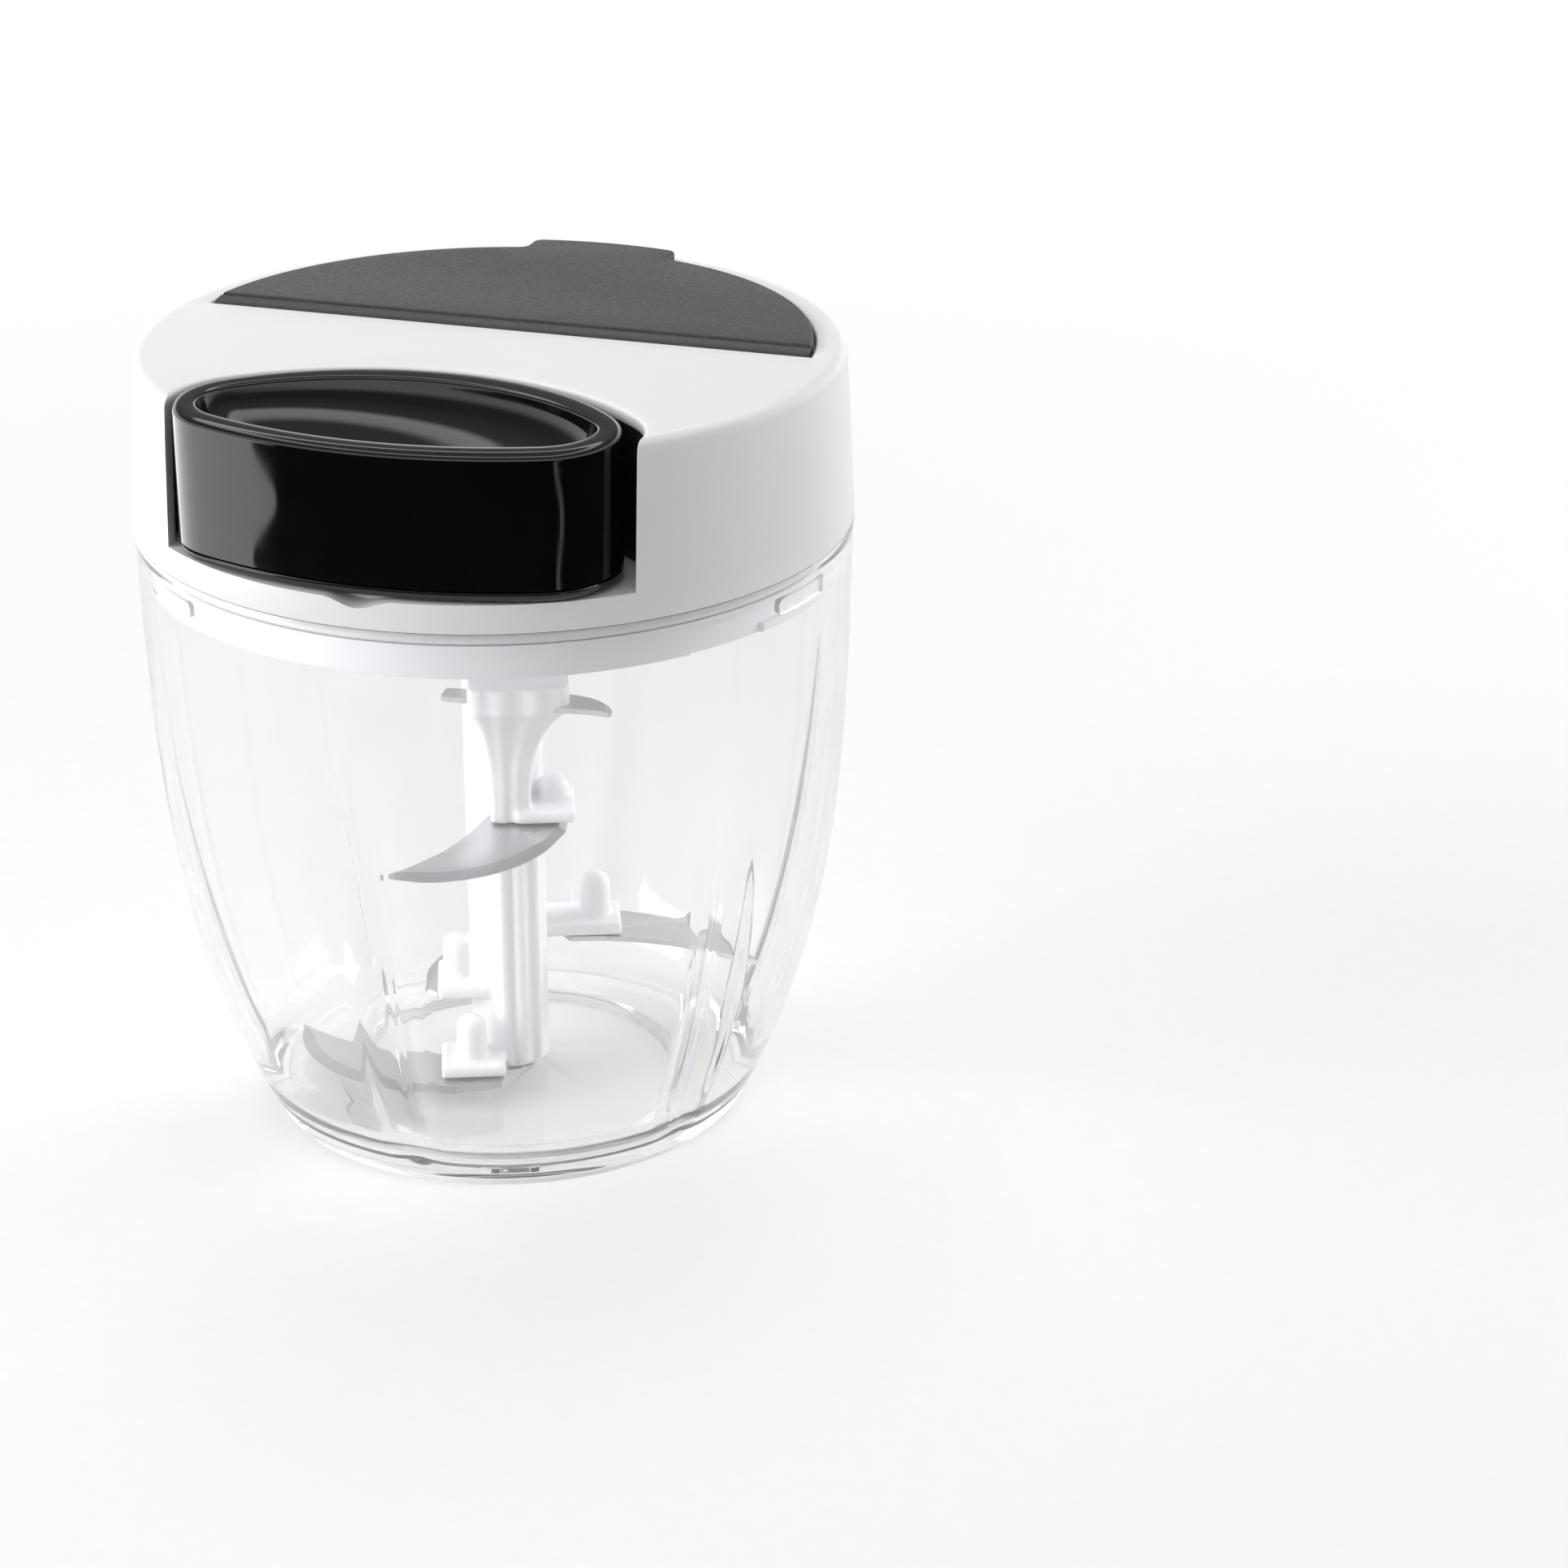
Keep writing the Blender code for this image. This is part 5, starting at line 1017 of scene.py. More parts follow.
    def build(self, palette: Palette) -> None:
        """Build the bowl and dress its other pieces."""
        bm = turned(self.profile(), self.columns)
        self.press_ribs(bm)
        steps = []
        lug_low = SIZES.lug_top - SIZES.lug_height
        wall = SIZES.bowl_radius(lug_low) - SIZES.bowl_wall
        for index in range(SIZES.lug_count):
            middle = SIZES.lug_centre + index * SIZES.lug_pitch
            lug = sector(wall - 1.2 * MM, wall + 0.8 * MM, middle - SIZES.lug_half_angle,
                         middle + SIZES.lug_half_angle, lug_low, SIZES.lug_top, 1.3 * MM)
            steps.append((Carving.JOIN, lug))
        shell = add_piece("bowl_shell", carved(bm, *steps), [palette.clear], Body.BOWL, ("bowl",),
                          28.0)
        shell.visible_shadow = False
        inner, outer, high = self.ring_inner, self.ring_outer, 2.1 * MM
        ring = [(inner, 0.5 * MM), (inner + 0.5 * MM, 0.0), (outer - 0.8 * MM, 0.0),
                (outer - 0.25 * MM, 0.2 * MM), (outer, 0.7 * MM), (outer, high), (inner, high)]
        add_piece("foot_ring", turned(ring, self.ring_steps), [palette.milky], Body.BOWL, ("non_slip_ring",))
        dress(palette.steel, "bowl_pivot_pin")


# Lid


@dataclass
class Lid:
    """The white lid: its housing, its skirt, its seal and the black liner of the handle's dock."""

    steps: int = 192
    top_round: float = 2.2 * MM
    seam_round: float = 0.15 * MM
    mouth_round: float = 0.7 * MM
    notch_half: float = 6.6 * MM
    notch_depth: float = 1.5 * MM
    boss_low: float = 142.3 * MM
    boss_radius: float = 4.9 * MM
    post_low: float = 109.3 * MM
    post_radius: float = 3.4 * MM
    tub_wall: float = 1.6 * MM
    hub_radius: float = 8.5 * MM
    groove_low: float = 113.3 * MM
    groove_high: float = 115.5 * MM
    skirt_top: float = 118.4 * MM
    liner_high: float = 144.9 * MM
    seal_low: float = 113.6 * MM
    seal_high: float = 115.2 * MM

    def housing_blank(self) -> bmesh.types.BMesh:
        """The solid round blank of the housing."""
        top, radius = SIZES.lid_top, SIZES.lid_top_radius
        edge = self.top_round
        turns = [math.pi / 2 * index / 8 for index in range(9)]
        rim = [(radius - edge + edge * math.cos(a), top - edge + edge * math.sin(a)) for a in turns]
        low = [(SIZES.rim_radius - self.seam_round, SIZES.seam),
               (SIZES.rim_radius - self.seam_round * 0.3, SIZES.seam + self.seam_round * 0.3),
               (SIZES.rim_radius - 0.01 * MM, SIZES.seam + self.seam_round)]
        side = [(SIZES.lid_radius(z), z) for z in (122.0 * MM, 130.0 * MM, 138.0 * MM)]
        return turned([(0.0, SIZES.seam)] + low + side + rim + [(0.0, top)], self.steps)

    def cavity(self) -> bmesh.types.BMesh:
        """The hollow inside the housing, less the tub, dock floor, boss and screw posts in it."""
        wall = SIZES.lid_wall
        deck = SIZES.lid_top - wall
        low, high = SIZES.seam - PAST, SIZES.lid_top + PAST
        hollow = turned([(0.0, low), (SIZES.rim_radius - wall, low), (SIZES.rim_radius - wall, SIZES.seam),
                         (SIZES.lid_radius(deck) - wall, deck), (0.0, deck)], self.steps)
        keep = [pulled(self.pocket(self.tub_wall), SIZES.pocket_floor - self.tub_wall, high),
                pulled(LENS.dock(2.6 * MM), SIZES.dock_floor - 1.8 * MM, SIZES.dock_floor),
                tube((0.0, 0.0, self.boss_low), (0.0, 0.0, high), self.boss_radius, 40)]
        for degrees in SIZES.screw_angles:
            place = polar(SIZES.skirt_radius() - SIZES.screw_inset, degrees)
            keep.append(tube((place.x, place.y, self.post_low), (place.x, place.y, high),
                             self.post_radius, 24))
        return carved(hollow, *[(Carving.CUT, shape) for shape in keep])

    def pocket(self, grow: float = 0.0) -> List[Point]:
        """The outline of the flap's pocket."""
        return half_moon(6.63 * MM - grow, SIZES.flap_radius + 0.5 * MM + grow)

    def notch(self) -> bmesh.types.BMesh:
        """The scoop in the front lip under the handle, where a finger tip starts the pull."""
        low = SIZES.dock_floor - self.notch_depth
        outline = [(-self.notch_half, PAST), (self.notch_half, PAST)]
        half_steps = 10
        for index in range(2 * half_steps + 1):
            x = self.notch_half * (1.0 - index / half_steps)
            bell = 0.5 + 0.5 * math.cos(math.pi * x / self.notch_half)
            outline.append((x, self.notch_depth * (1.0 - bell) + 1e-5))
        bm = pulled(outline, -70.0 * MM, -60.0 * MM)
        turn = Matrix(((1.0, 0.0, 0.0, 0.0), (0.0, 0.0, 1.0, 0.0),
                       (0.0, 1.0, 0.0, low), (0.0, 0.0, 0.0, 1.0)))
        bmesh.ops.transform(bm, matrix=turn, verts=bm.verts[:])
        bmesh.ops.recalc_face_normals(bm, faces=bm.faces[:])
        return bm

    def housing(self) -> bmesh.types.BMesh:
        """The finished housing."""
        top = SIZES.lid_top
        tab = SIZES.tab_half + 0.5 * MM
        axis = (SIZES.flap_axis_y, SIZES.flap_axis_z)
        pin_end, high = 60.6 * MM, top + PAST
        cuts = [self.cavity(),
                with_mouth(LENS.dock, SIZES.dock_floor, top, self.mouth_round),
                self.notch(),
                with_mouth(self.pocket, SIZES.pocket_floor, top, 0.5 * MM),
                block((-tab, 46.0 * MM, 145.4 * MM), (tab, 78.0 * MM, high), 0.6 * MM),
                pulled(half_moon(SIZES.fill_chord, SIZES.fill_radius), 140.0 * MM, high),
                tube((-pin_end, *axis), (pin_end, *axis), 0.85 * MM, 20),
                tube((0.0, 0.0, 138.0 * MM), (0.0, 0.0, 146.1 * MM), 2.3 * MM, 32)]
        return carved(self.housing_blank(), *[(Carving.CUT, cut) for cut in cuts])

    def skirt(self) -> bmesh.types.BMesh:
        """The base plate with its skirt, seal groove, chute and bayonet channels."""
        skirt = SIZES.skirt_radius()
        low, plate = SIZES.skirt_low, SIZES.plate_top
        inner = skirt - 2.6 * MM
        groove = skirt - 1.1 * MM
        edge, slope = 0.6 * MM, 0.18 * MM
        profile = [(self.hub_radius, low), (skirt - edge, low), (skirt - slope, low + slope),
                   (skirt, low + edge), (skirt, self.groove_low), (groove, self.groove_low),
                   (groove, self.groove_high), (skirt, self.groove_high), (skirt, self.skirt_top),
                   (inner, self.skirt_top), (inner, plate), (self.hub_radius, plate)]
        chord, radius = SIZES.fill_chord, SIZES.fill_radius
        chute = pulled(half_moon(chord - self.tub_wall, radius + self.tub_wall), low + 1.0 * MM,
                       self.boss_low)
        bore = pulled(half_moon(chord, radius), low - PAST, 150.0 * MM)
        steps = [(Carving.JOIN, chute), (Carving.CUT, bore)]
        reach = SIZES.lug_half_angle + 0.7
        depth = skirt - 1.0 * MM
        play, corner = 0.3 * MM, 1.2 * MM
        for index in range(SIZES.lug_count):
            middle = SIZES.lug_centre + index * SIZES.lug_pitch
            start = middle - SIZES.lid_twist
            run = sector(depth, skirt + PAST, start - reach, middle + reach,
                         SIZES.lug_top - SIZES.lug_height - play, SIZES.lug_top + play, corner)
            mouth = sector(depth, skirt + PAST, start - reach, start + reach,
                           low - PAST, SIZES.lug_top - 0.5 * MM, corner)
            steps += [(Carving.CUT, run), (Carving.CUT, mouth)]
        for degrees in SIZES.screw_angles:
            place = polar(skirt - SIZES.screw_inset, degrees)
            hole = tube((place.x, place.y, low - PAST), (place.x, place.y, plate + PAST),
                        1.5 * MM, 20)
            steps.append((Carving.CUT, hole))
        return carved(turned(profile, self.steps), *steps)

    def liner(self) -> bmesh.types.BMesh:
        """The black liner round the back and the ends of the handle."""
        bm = pulled(LENS.dock(self.tub_wall), SIZES.dock_floor + 0.3 * MM, self.liner_high)
        high, side = 150.0 * MM, 78.0 * MM
        bore = pulled(LENS.dock(), SIZES.dock_floor - PAST, high)
        clip = block((-side, -150.0 * MM, 115.0 * MM), (side, -43.2 * MM, high))
        hole = tube((0.0, -25.0 * MM, SIZES.cord_height), (0.0, -15.0 * MM, SIZES.cord_height),
                    3.2 * MM, 32)
        return carved(bm, (Carving.CUT, bore), (Carving.CUT, clip), (Carving.CUT, hole))

    def seal(self) -> bmesh.types.BMesh:
        """The lip seal in its groove."""
        inner = SIZES.skirt_radius() - 0.8 * MM
        outer = SIZES.bowl_radius(113.9 * MM) - SIZES.bowl_wall - 0.3 * MM
        low, high = self.seal_low, self.seal_high
        lip, rise = outer - 0.3 * MM, 0.4 * MM
        return turned([(inner, low), (lip, low), (outer, low + rise), (outer - 0.1 * MM, (low + high) / 2),
                       (outer, high - rise), (lip, high), (inner, high)], self.steps)

    def build(self, palette: Palette) -> None:
        """Build the lid's pieces and dress the ones that keep their own shape."""
        add_piece("lid_shell", self.housing(), [palette.white], Body.LID, ("lid_housing", "flap_tray"))
        add_piece("lid_skirt", self.skirt(), [palette.white], Body.LID, ("lid_base", "fill_chute"))
        add_piece("lid_lip_seal", self.seal(), [palette.pale_seal], Body.LID, ("lid_seal",))
        add_piece("dock_liner", self.liner(), [palette.matt_black], Body.LID, ("handle_dock",))
        dress(palette.steel, "lid_screw_1", "lid_screw_2", "lid_screw_3", "lid_screw_4",
              "cord_guide_bush")


# Flap


@dataclass
class Flap:
    """The dark grained half moon flap with its lifting tab, hinge pins and seal."""

    edge: float = 0.5 * MM
    tab_radius: float = 62.9 * MM
    tab_corner: float = 1.4 * MM
    pin_radius: float = 0.6 * MM
    pin_end: float = 58.3 * MM
    blank_half: float = 70.0 * MM

    def plan(self) -> List[Point]:
        """The half moon with its tab."""
        radius = SIZES.flap_radius
        start = math.degrees(math.asin(SIZES.flap_chord * 0.5 / radius))
        root = math.degrees(math.asin(SIZES.tab_half / radius))
        tip = math.degrees(math.asin(SIZES.tab_half / self.tab_radius))
        points = arc((0.0, 0.0), radius, start, 90.0 - root, 48)
        points += arc((0.0, 0.0), self.tab_radius, 90.0 - tip, 90.0 + tip, 16)
        points += arc((0.0, 0.0), radius, 90.0 + root, 180.0 - start, 48)
        return points

    def rounded_plan(self) -> bmesh.types.BMesh:
        """The plan as a thick body, with rounded tab corners and a rounded upper edge."""
        low, high = SIZES.flap_under - PAST, SIZES.flap_top
        bm = pulled(self.plan(), low, high)
        corners = []
        for edge in bm.edges:
            first, second = edge.verts[0].co, edge.verts[1].co
            upright = abs(first.z - second.z) > SAME
            if upright and abs(abs(first.x) - SIZES.tab_half) < SAME and first.y > 0.0:
                corners.append(edge)
        bmesh.ops.bevel(bm, geom=corners, offset=self.tab_corner, segments=5, profile=0.5,
                        affect="EDGES", material=-1)
        rim = [edge for edge in bm.edges
               if all(abs(vert.co.z - high) < SAME for vert in edge.verts)]
        bmesh.ops.bevel(bm, geom=rim, offset=self.edge, segments=4, profile=0.5,
                        affect="EDGES", material=-1)
        return bm

    def front_profile(self) -> List[Point]:
        """The section across the hinge line, as (y, z) points."""
        chord, top = SIZES.flap_chord, SIZES.flap_top
        deck = SIZES.lid_top
        return [(self.blank_half, top), (chord + 3.55 * MM, top), (chord + 3.25 * MM, top - 0.06 * MM),
                (chord + 3.05 * MM, top - 0.22 * MM), (chord + 2.95 * MM, top - 0.50 * MM),
                (chord + 2.80 * MM, top - 0.58 * MM), (chord + 2.60 * MM, top - 0.46 * MM),
                (chord + 2.35 * MM, top - 0.40 * MM), (chord + 0.60 * MM, deck + 0.25 * MM),
                (chord + 0.25 * MM, deck + 0.05 * MM), (chord + 0.06 * MM, deck - 0.15 * MM),
                (chord, deck - 0.4 * MM), (chord, SIZES.flap_axis_z - 0.1 * MM),
                (chord + 0.5 * MM, SIZES.flap_under), (self.blank_half, SIZES.flap_under)]

    def shape(self) -> bmesh.types.BMesh:
        """The finished flap with its pins."""
        bm = pulled(self.front_profile(), -self.blank_half, self.blank_half)
        turn = Matrix(((0.0, 0.0, 1.0, 0.0), (1.0, 0.0, 0.0, 0.0),
                       (0.0, 1.0, 0.0, 0.0), (0.0, 0.0, 0.0, 1.0)))
        bmesh.ops.transform(bm, matrix=turn, verts=bm.verts[:])
        bmesh.ops.recalc_face_normals(bm, faces=bm.faces[:])
        axis = (SIZES.flap_axis_y, SIZES.flap_axis_z)
        pins = tube((-self.pin_end, *axis), (self.pin_end, *axis), self.pin_radius, 24)
        return carved(bm, (Carving.KEEP, self.rounded_plan()), (Carving.JOIN, pins))

    def build(self, palette: Palette) -> None:
        """Build the flap and dress its seal."""
        add_piece("flap_cover", self.shape(), [palette.sparked], Body.FLAP, ("fill_flap",),
                  40.0)
        dress(palette.milky, "flap_seal")


# Handle


@dataclass
class Handle:
    """The polished black handle with its finger pocket and its cover plate."""

    rim: float = 4.2 * MM
    back_extra: float = 1.6 * MM
    edge: float = 1.4 * MM
    inner_edge: float = 0.7 * MM
    pocket_depth: float = 16.5 * MM
    pocket_power: float = 1.75
    pocket_steps: int = 26
    pocket_close: float = 0.985
    shell_low: float = 123.4 * MM
    plate_thickness: float = 1.6 * MM
    plate_inset: float = 0.1 * MM
    plate_edge: float = 0.9 * MM
    screw_x: float = 27.0 * MM

    def pocket_ring(self, drop: float, scale: float, grow: float = 0.0) -> List[Vector]:
        """One ring of the finger pocket.

        Args:
            drop: How far below the handle's top it lies.
            scale: Its size as a share of the pocket's mouth.
            grow: How far the mouth is widened.

        Returns:
            The ring.
        """
        middle = LENS.centre_y
        front = middle - LENS.front_sag - LENS.end_radius
        back = middle + LENS.back_sag + LENS.end_radius
        centre = (front + back - self.back_extra) / 2
        ring = []
        for x, y in LENS.outline(-self.rim + grow):
            if y > middle:
                y -= self.back_extra * (y - middle) / (back - self.rim - middle)
            ring.append(Vector((x * scale, centre + (y - centre) * scale, SIZES.handle_top - drop)))
        return ring

    def shell(self) -> bmesh.types.BMesh:
        """The handle's body, outside and pocket in one loft."""
        top = SIZES.handle_top
        rings = [LENS.ring(-0.25 * MM, self.shell_low), LENS.ring(0.0, self.shell_low + 0.25 * MM)]
        rings += [LENS.ring(0.0, z * MM) for z in (124.2, 134.0, 145.9)]
        for index in range(7):
            angle = math.pi / 2 * index / 6
            rings.append(LENS.ring(-self.edge * (1.0 - math.cos(angle)),
                                   top - self.edge * (1.0 - math.sin(angle))))
        for index in range(5):
            angle = math.pi / 2 * index / 4
            drop = self.inner_edge * (1.0 - math.cos(angle))
            rings.append(self.pocket_ring(drop, 1.0, self.inner_edge * (1.0 - math.sin(angle))))
        for index in range(2, self.pocket_steps + 1):
            share = index / self.pocket_steps * self.pocket_close
            scale = (1.0 - share ** self.pocket_power) ** (1.0 / self.pocket_power)
            rings.append(self.pocket_ring(share * self.pocket_depth, scale))
        return lofted(rings)

    def plate(self) -> bmesh.types.BMesh:
        """The cover plate under the handle, with its rounded lower edge and two screw holes."""
        low, high = SIZES.handle_low, SIZES.handle_low + self.plate_thickness
        rings = []
        for index in range(6):
            angle = math.pi / 2 * index / 5
            rings.append(LENS.ring(-self.plate_inset - self.plate_edge * (1.0 - math.sin(angle)),
                                   low + self.plate_edge * (1.0 - math.cos(angle))))
        rings.append(LENS.ring(-self.plate_inset, high - 0.15 * MM))
        rings.append(LENS.ring(-0.25 * MM, high))
        steps = []
        for side in (-1, 1):
            place = (side * self.screw_x, LENS.centre_y)
            bore = tube((*place, low - PAST), (*place, high + PAST), 1.5 * MM, 24)
            sink = tube((*place, low - PAST), (*place, low + 0.84 * MM), 2.7 * MM, 32)
            steps += [(Carving.CUT, bore), (Carving.CUT, sink)]
        return carved(lofted(rings), *steps)

    def build(self, palette: Palette) -> None:
        """Build the handle's pieces and dress its screws."""
        add_piece("handle_body", self.shell(), [palette.gloss_black], Body.HANDLE, ("handle_shell",),
                  40.0)
        add_piece("handle_plate", self.plate(), [palette.gloss_black], Body.HANDLE, ("handle_cover",),
                  40.0)
        dress(palette.steel, "handle_screw_1", "handle_screw_2")


# Drive


@dataclass
class Drive:
    """The reel, its spring, the drive socket and the braided pull cord."""

    cord_radius: float = 0.9 * MM
    lead_end: float = -18.78 * MM
    handle_end: float = -22.2 * MM
    pull: float = 450.0 * MM
    braid_pitch: float = 3.2 * MM
    rings: int = 120
    sides: int = 16

    def stretch(self) -> bmesh.types.BMesh:
        """The stretch of cord that follows the handle.

        Its rings are closest where the pull spreads them most, so that they come out even
        along the drawn cord, and its UV map counts braid pitches along the drawn cord.
        """
        bm = bmesh.new()
        bmesh.ops.create_circle(bm, segments=self.sides, radius=self.cord_radius, cap_ends=False)
        start = Matrix.Translation((0.0, self.lead_end, SIZES.cord_height))
        bmesh.ops.transform(bm, matrix=start @ Matrix.Rotation(math.pi / 2, 4, "X"),
                            verts=bm.verts[:])
        span = self.handle_end - self.lead_end
        shares = [0.5 - math.sin(math.asin(1.0 - 2.0 * i / self.rings) / 3.0)
                  for i in range(self.rings + 1)]
        loop = bm.edges[:]
        bmesh.ops.contextual_create(bm, geom=loop)
        for before, after in zip(shares, shares[1:]):
            grown = bmesh.ops.extrude_edge_only(bm, edges=loop)["geom"]
            verts = [item for item in grown if isinstance(item, bmesh.types.BMVert)]
            bmesh.ops.translate(bm, verts=verts, vec=(0.0, span * (after - before), 0.0))
            loop = [item for item in grown if isinstance(item, bmesh.types.BMEdge)
                    and abs(item.verts[0].co.y - item.verts[1].co.y) < SAME]
        bmesh.ops.contextual_create(bm, geom=loop)
        bmesh.ops.recalc_face_normals(bm, faces=bm.faces[:])
        layer = bm.loops.layers.uv.new("braid")
        for face in bm.faces:
            middle = face.calc_center_median()
            for corner in face.loops:
                place = corner.vert.co
                share = (place.y - self.lead_end) / span
                eased = smooth_step(share) * self.pull / self.braid_pitch
                around = math.atan2(place.x, place.z - SIZES.cord_height) / math.tau
                if abs(around) > 0.49:
                    around = math.copysign(0.5, middle.x)
                corner[layer].uv = (eased, around)
        return bm

    def socket(self) -> bmesh.types.BMesh:
        """The drive socket with its hexagonal recess."""
        low, flange, top = 99.5 * MM, 109.3 * MM, 110.4 * MM
        radius, reach, edge = 8.0 * MM, 11.0 * MM, 0.4 * MM
        body = turned([(0.0, low), (radius - edge, low), (radius, low + edge), (radius, flange),
                       (reach, flange), (reach, top), (0.0, top)], 96)
        recess = pulled(hexagon(5.6 * MM, SIZES.shaft_turn), low - PAST, 107.5 * MM)
        hole = tube((0.0, 0.0, low), (0.0, 0.0, top + PAST), 1.5 * MM, 24)
        return carved(body, (Carving.CUT, recess), (Carving.CUT, hole))

    def build(self, palette: Palette) -> None:
        """Build the cord and the socket and dress the hidden works."""
        cord = add_piece("cord_stretch", self.stretch(), [palette.braid], None, ("pull_cord",))
        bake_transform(cord)
        add_piece("socket_cup", self.socket(), [palette.soft_white], Body.REEL, ("drive_socket",))
        dress(palette.wound, "cord_winding", "cord_lead", "cord_knot")
        dress(palette.soft_white, "reel", "spring_cup", "spring_cover")
        dress(palette.steel, "reel_axle", "reel_washer", "socket_screw")
        dress(palette.spring, "recoil_spring")


# Blades and shaft


@dataclass(frozen=True)
class Sickle:
    """One curved blade in the shaft's own axes, in shaft radii and shares of its length."""

    root: Point
    heading: float
    share: float
    spike: float = 0.0
    scale: float = 1.0
    tail: float = 0.41
    width: float = 1.0


@dataclass(frozen=True)
class Bracket:
    """A plate with a peg that holds one blade."""

    low: Point
    high: Point
    blade: int
    peg: Point
    peg_height: float


@dataclass
class BladeSet:
    """The white blade shaft with its brackets and five sickle blades."""

    radius: float = 7.3 * MM
    bottom: float = 6.7 * MM
    top: float = 99.0 * MM
    thickness: float = 1.0 * MM
    half_width: float = 7.0 * MM
    curve_radius: float = 40.0 * MM
    sweep: float = 62.0
    bevel_width: float = 2.3 * MM
    spike_reach: float = 0.075
    head_share: float = 0.84
    land: float = 0.15 * MM
    pad: float = 2.4 * MM
    peg_radius: float = 2.9 * MM
    peg_steps: int = 8
    head_top: float = 105.2 * MM
    rib_angles: Tuple[float, ...] = (-97.0, -72.0, -47.0)
    rib_radius: float = 1.5 * MM
    web_rows: int = 30
    web_columns: int = 24
    grain: float = 0.42 * MM
    sickles: Tuple[Sickle, ...] = (
        Sickle((-2.06, -1.54), 171.0, 0.012, scale=0.80, tail=1.88),
        Sickle((1.78, 1.37), 0.0, 0.231, spike=5.5 * MM, scale=0.95),
        Sickle((-1.37, 0.07), 90.0, 0.142, scale=0.80),
        Sickle((0.17, -2.27), 246.0, 0.556, scale=0.66, tail=2.30, width=1.11),
        Sickle((1.81, -2.32), -15.0, 0.840, scale=0.20, tail=3.35, width=0.52),
    )
    brackets: Tuple[Bracket, ...] = (
        Bracket((-1.81, -2.12), (-0.16, -0.55), 0, (-1.01, -1.42), 1.15),
        Bracket((0.44, 0.30), (2.96, 1.86), 1, (2.30, 1.12), 1.15),
        Bracket((-1.86, -0.90), (-0.50, 0.96), 2, (-1.32, 0.16), 1.10),
        Bracket((0.27, -1.78), (1.78, 0.14), 3, (1.26, -0.63), 0.55),
    )

    def level(self, sickle: Sickle) -> float:
        """Height of a blade's middle plane."""
        return self.bottom + sickle.share * (self.top - self.bottom)

    def outlines(self, sickle: Sickle) -> Tuple[List[Point], List[Point]]:
        """The blade's full outline, and the one that is left above its ground edge.

        Args:
            sickle: The blade.

        Returns:
            The two outlines, with equal counts.
        """
        count = 40
        radius = self.curve_radius * sickle.scale
        tail = sickle.tail * self.radius
        width = self.half_width * sickle.width
        bevel = self.bevel_width * sickle.width
        outer = [(-tail, width * 0.55), (-tail * 0.4, width)]
        inner = [(-tail, -width * 0.55), (-tail * 0.4, -width)]
        land = [(-tail, width * 0.55), (-tail * 0.4, width - bevel * 0.6)]
        for index in range(count + 1):
            share = index / count
            angle = math.radians(self.sweep) * share
            half = width * (1.0 - share ** 2.0) ** 0.9
            cutting = radius + half
            ground = max(cutting - bevel * min(1.0, 0.6 + share * 3.0), radius - half * 0.2)
            back = radius - half
            near = abs(share - 0.5) / self.spike_reach
            if sickle.spike and near < 1.0:
                cutting += sickle.spike * (1.0 - near) ** 1.2
                ground += sickle.spike * 0.5 * (1.0 - near) ** 1.2
            for line, reach in ((outer, cutting), (land, ground), (inner, back)):
                line.append((math.sin(angle) * reach, reach * math.cos(angle) - radius))
        return outer + inner[-2::-1], land + inner[-2::-1]

    def blade(self, sickle: Sickle) -> bmesh.types.BMesh:
        """A blade with its ground edge on a second material slot and its strip UV map."""
        full, land = self.outlines(sickle)
        half = self.thickness / 2
        rings = [[Vector((x, y, -half)) for x, y in full],
                 [Vector((x, y, -half + self.land)) for x, y in full],
                 [Vector((x, y, half)) for x, y in land]]
        bm = lofted(rings)
        bm.normal_update()
        radius = self.curve_radius * sickle.scale
        layer = bm.loops.layers.uv.new("strip")
        for face in bm.faces:
            # Slanted faces, the ground bevel, take the second slot, whose darker colour is painted shade.
            slanted = 0.15 < face.normal.z < 0.97
            face.material_index = 1 if slanted else 0
            for corner in face.loops:
                x, y = corner.vert.co.x, corner.vert.co.y + radius
                corner[layer].uv = (math.atan2(x, y) * radius, math.hypot(x, y) - radius)
        turn = Matrix.Rotation(math.radians(sickle.heading), 4, "Z")
        root = Vector((sickle.root[0] * self.radius, sickle.root[1] * self.radius,
                       self.level(sickle)))
        whole = (Matrix.Rotation(math.radians(SIZES.shaft_turn), 4, "Z")
                 @ Matrix.Translation(root) @ turn)
        bmesh.ops.transform(bm, matrix=whole, verts=bm.verts[:])
        return bm

    def web(self) -> bmesh.types.BMesh:
        """The scalloped web that drops from the flared head to the fourth blade."""
        low = self.level(self.sickles[3]) + self.thickness / 2 + 0.3 * MM
        high = self.level(self.sickles[4]) + 4.0 * MM
        rings = []
        for index in range(self.web_rows + 1):
            share = index / self.web_rows
            flare = min(1.0, share / self.head_share) ** 3.2
            left = -self.radius * (0.36 + 0.49 * flare)
            right = self.radius * (0.66 + 1.01 * flare)
            front = -self.radius * (1.70 + 1.10 * flare)
            back = -self.radius * 0.27
            width = right - left
            corner = width / 6
            ring = [(left, back), (left, front + corner)]
            for step in range(1, self.web_columns):
                across = step / self.web_columns
                ease = min(1.0, across * 5.0, (1.0 - across) * 5.0)
                round_off = corner * (1.0 - math.sqrt(1.0 - (1.0 - ease) ** 2))
                scallop = corner * 0.28 * (0.5 - 0.5 * math.cos(across * math.tau * 3.0)) * ease
                ring.append((left + width * across, front + round_off + scallop))
            ring += [(right, front + corner), (right, back)]
            rings.append([Vector((x, y, low + (high - low) * share)) for x, y in ring])
        return lofted(rings)

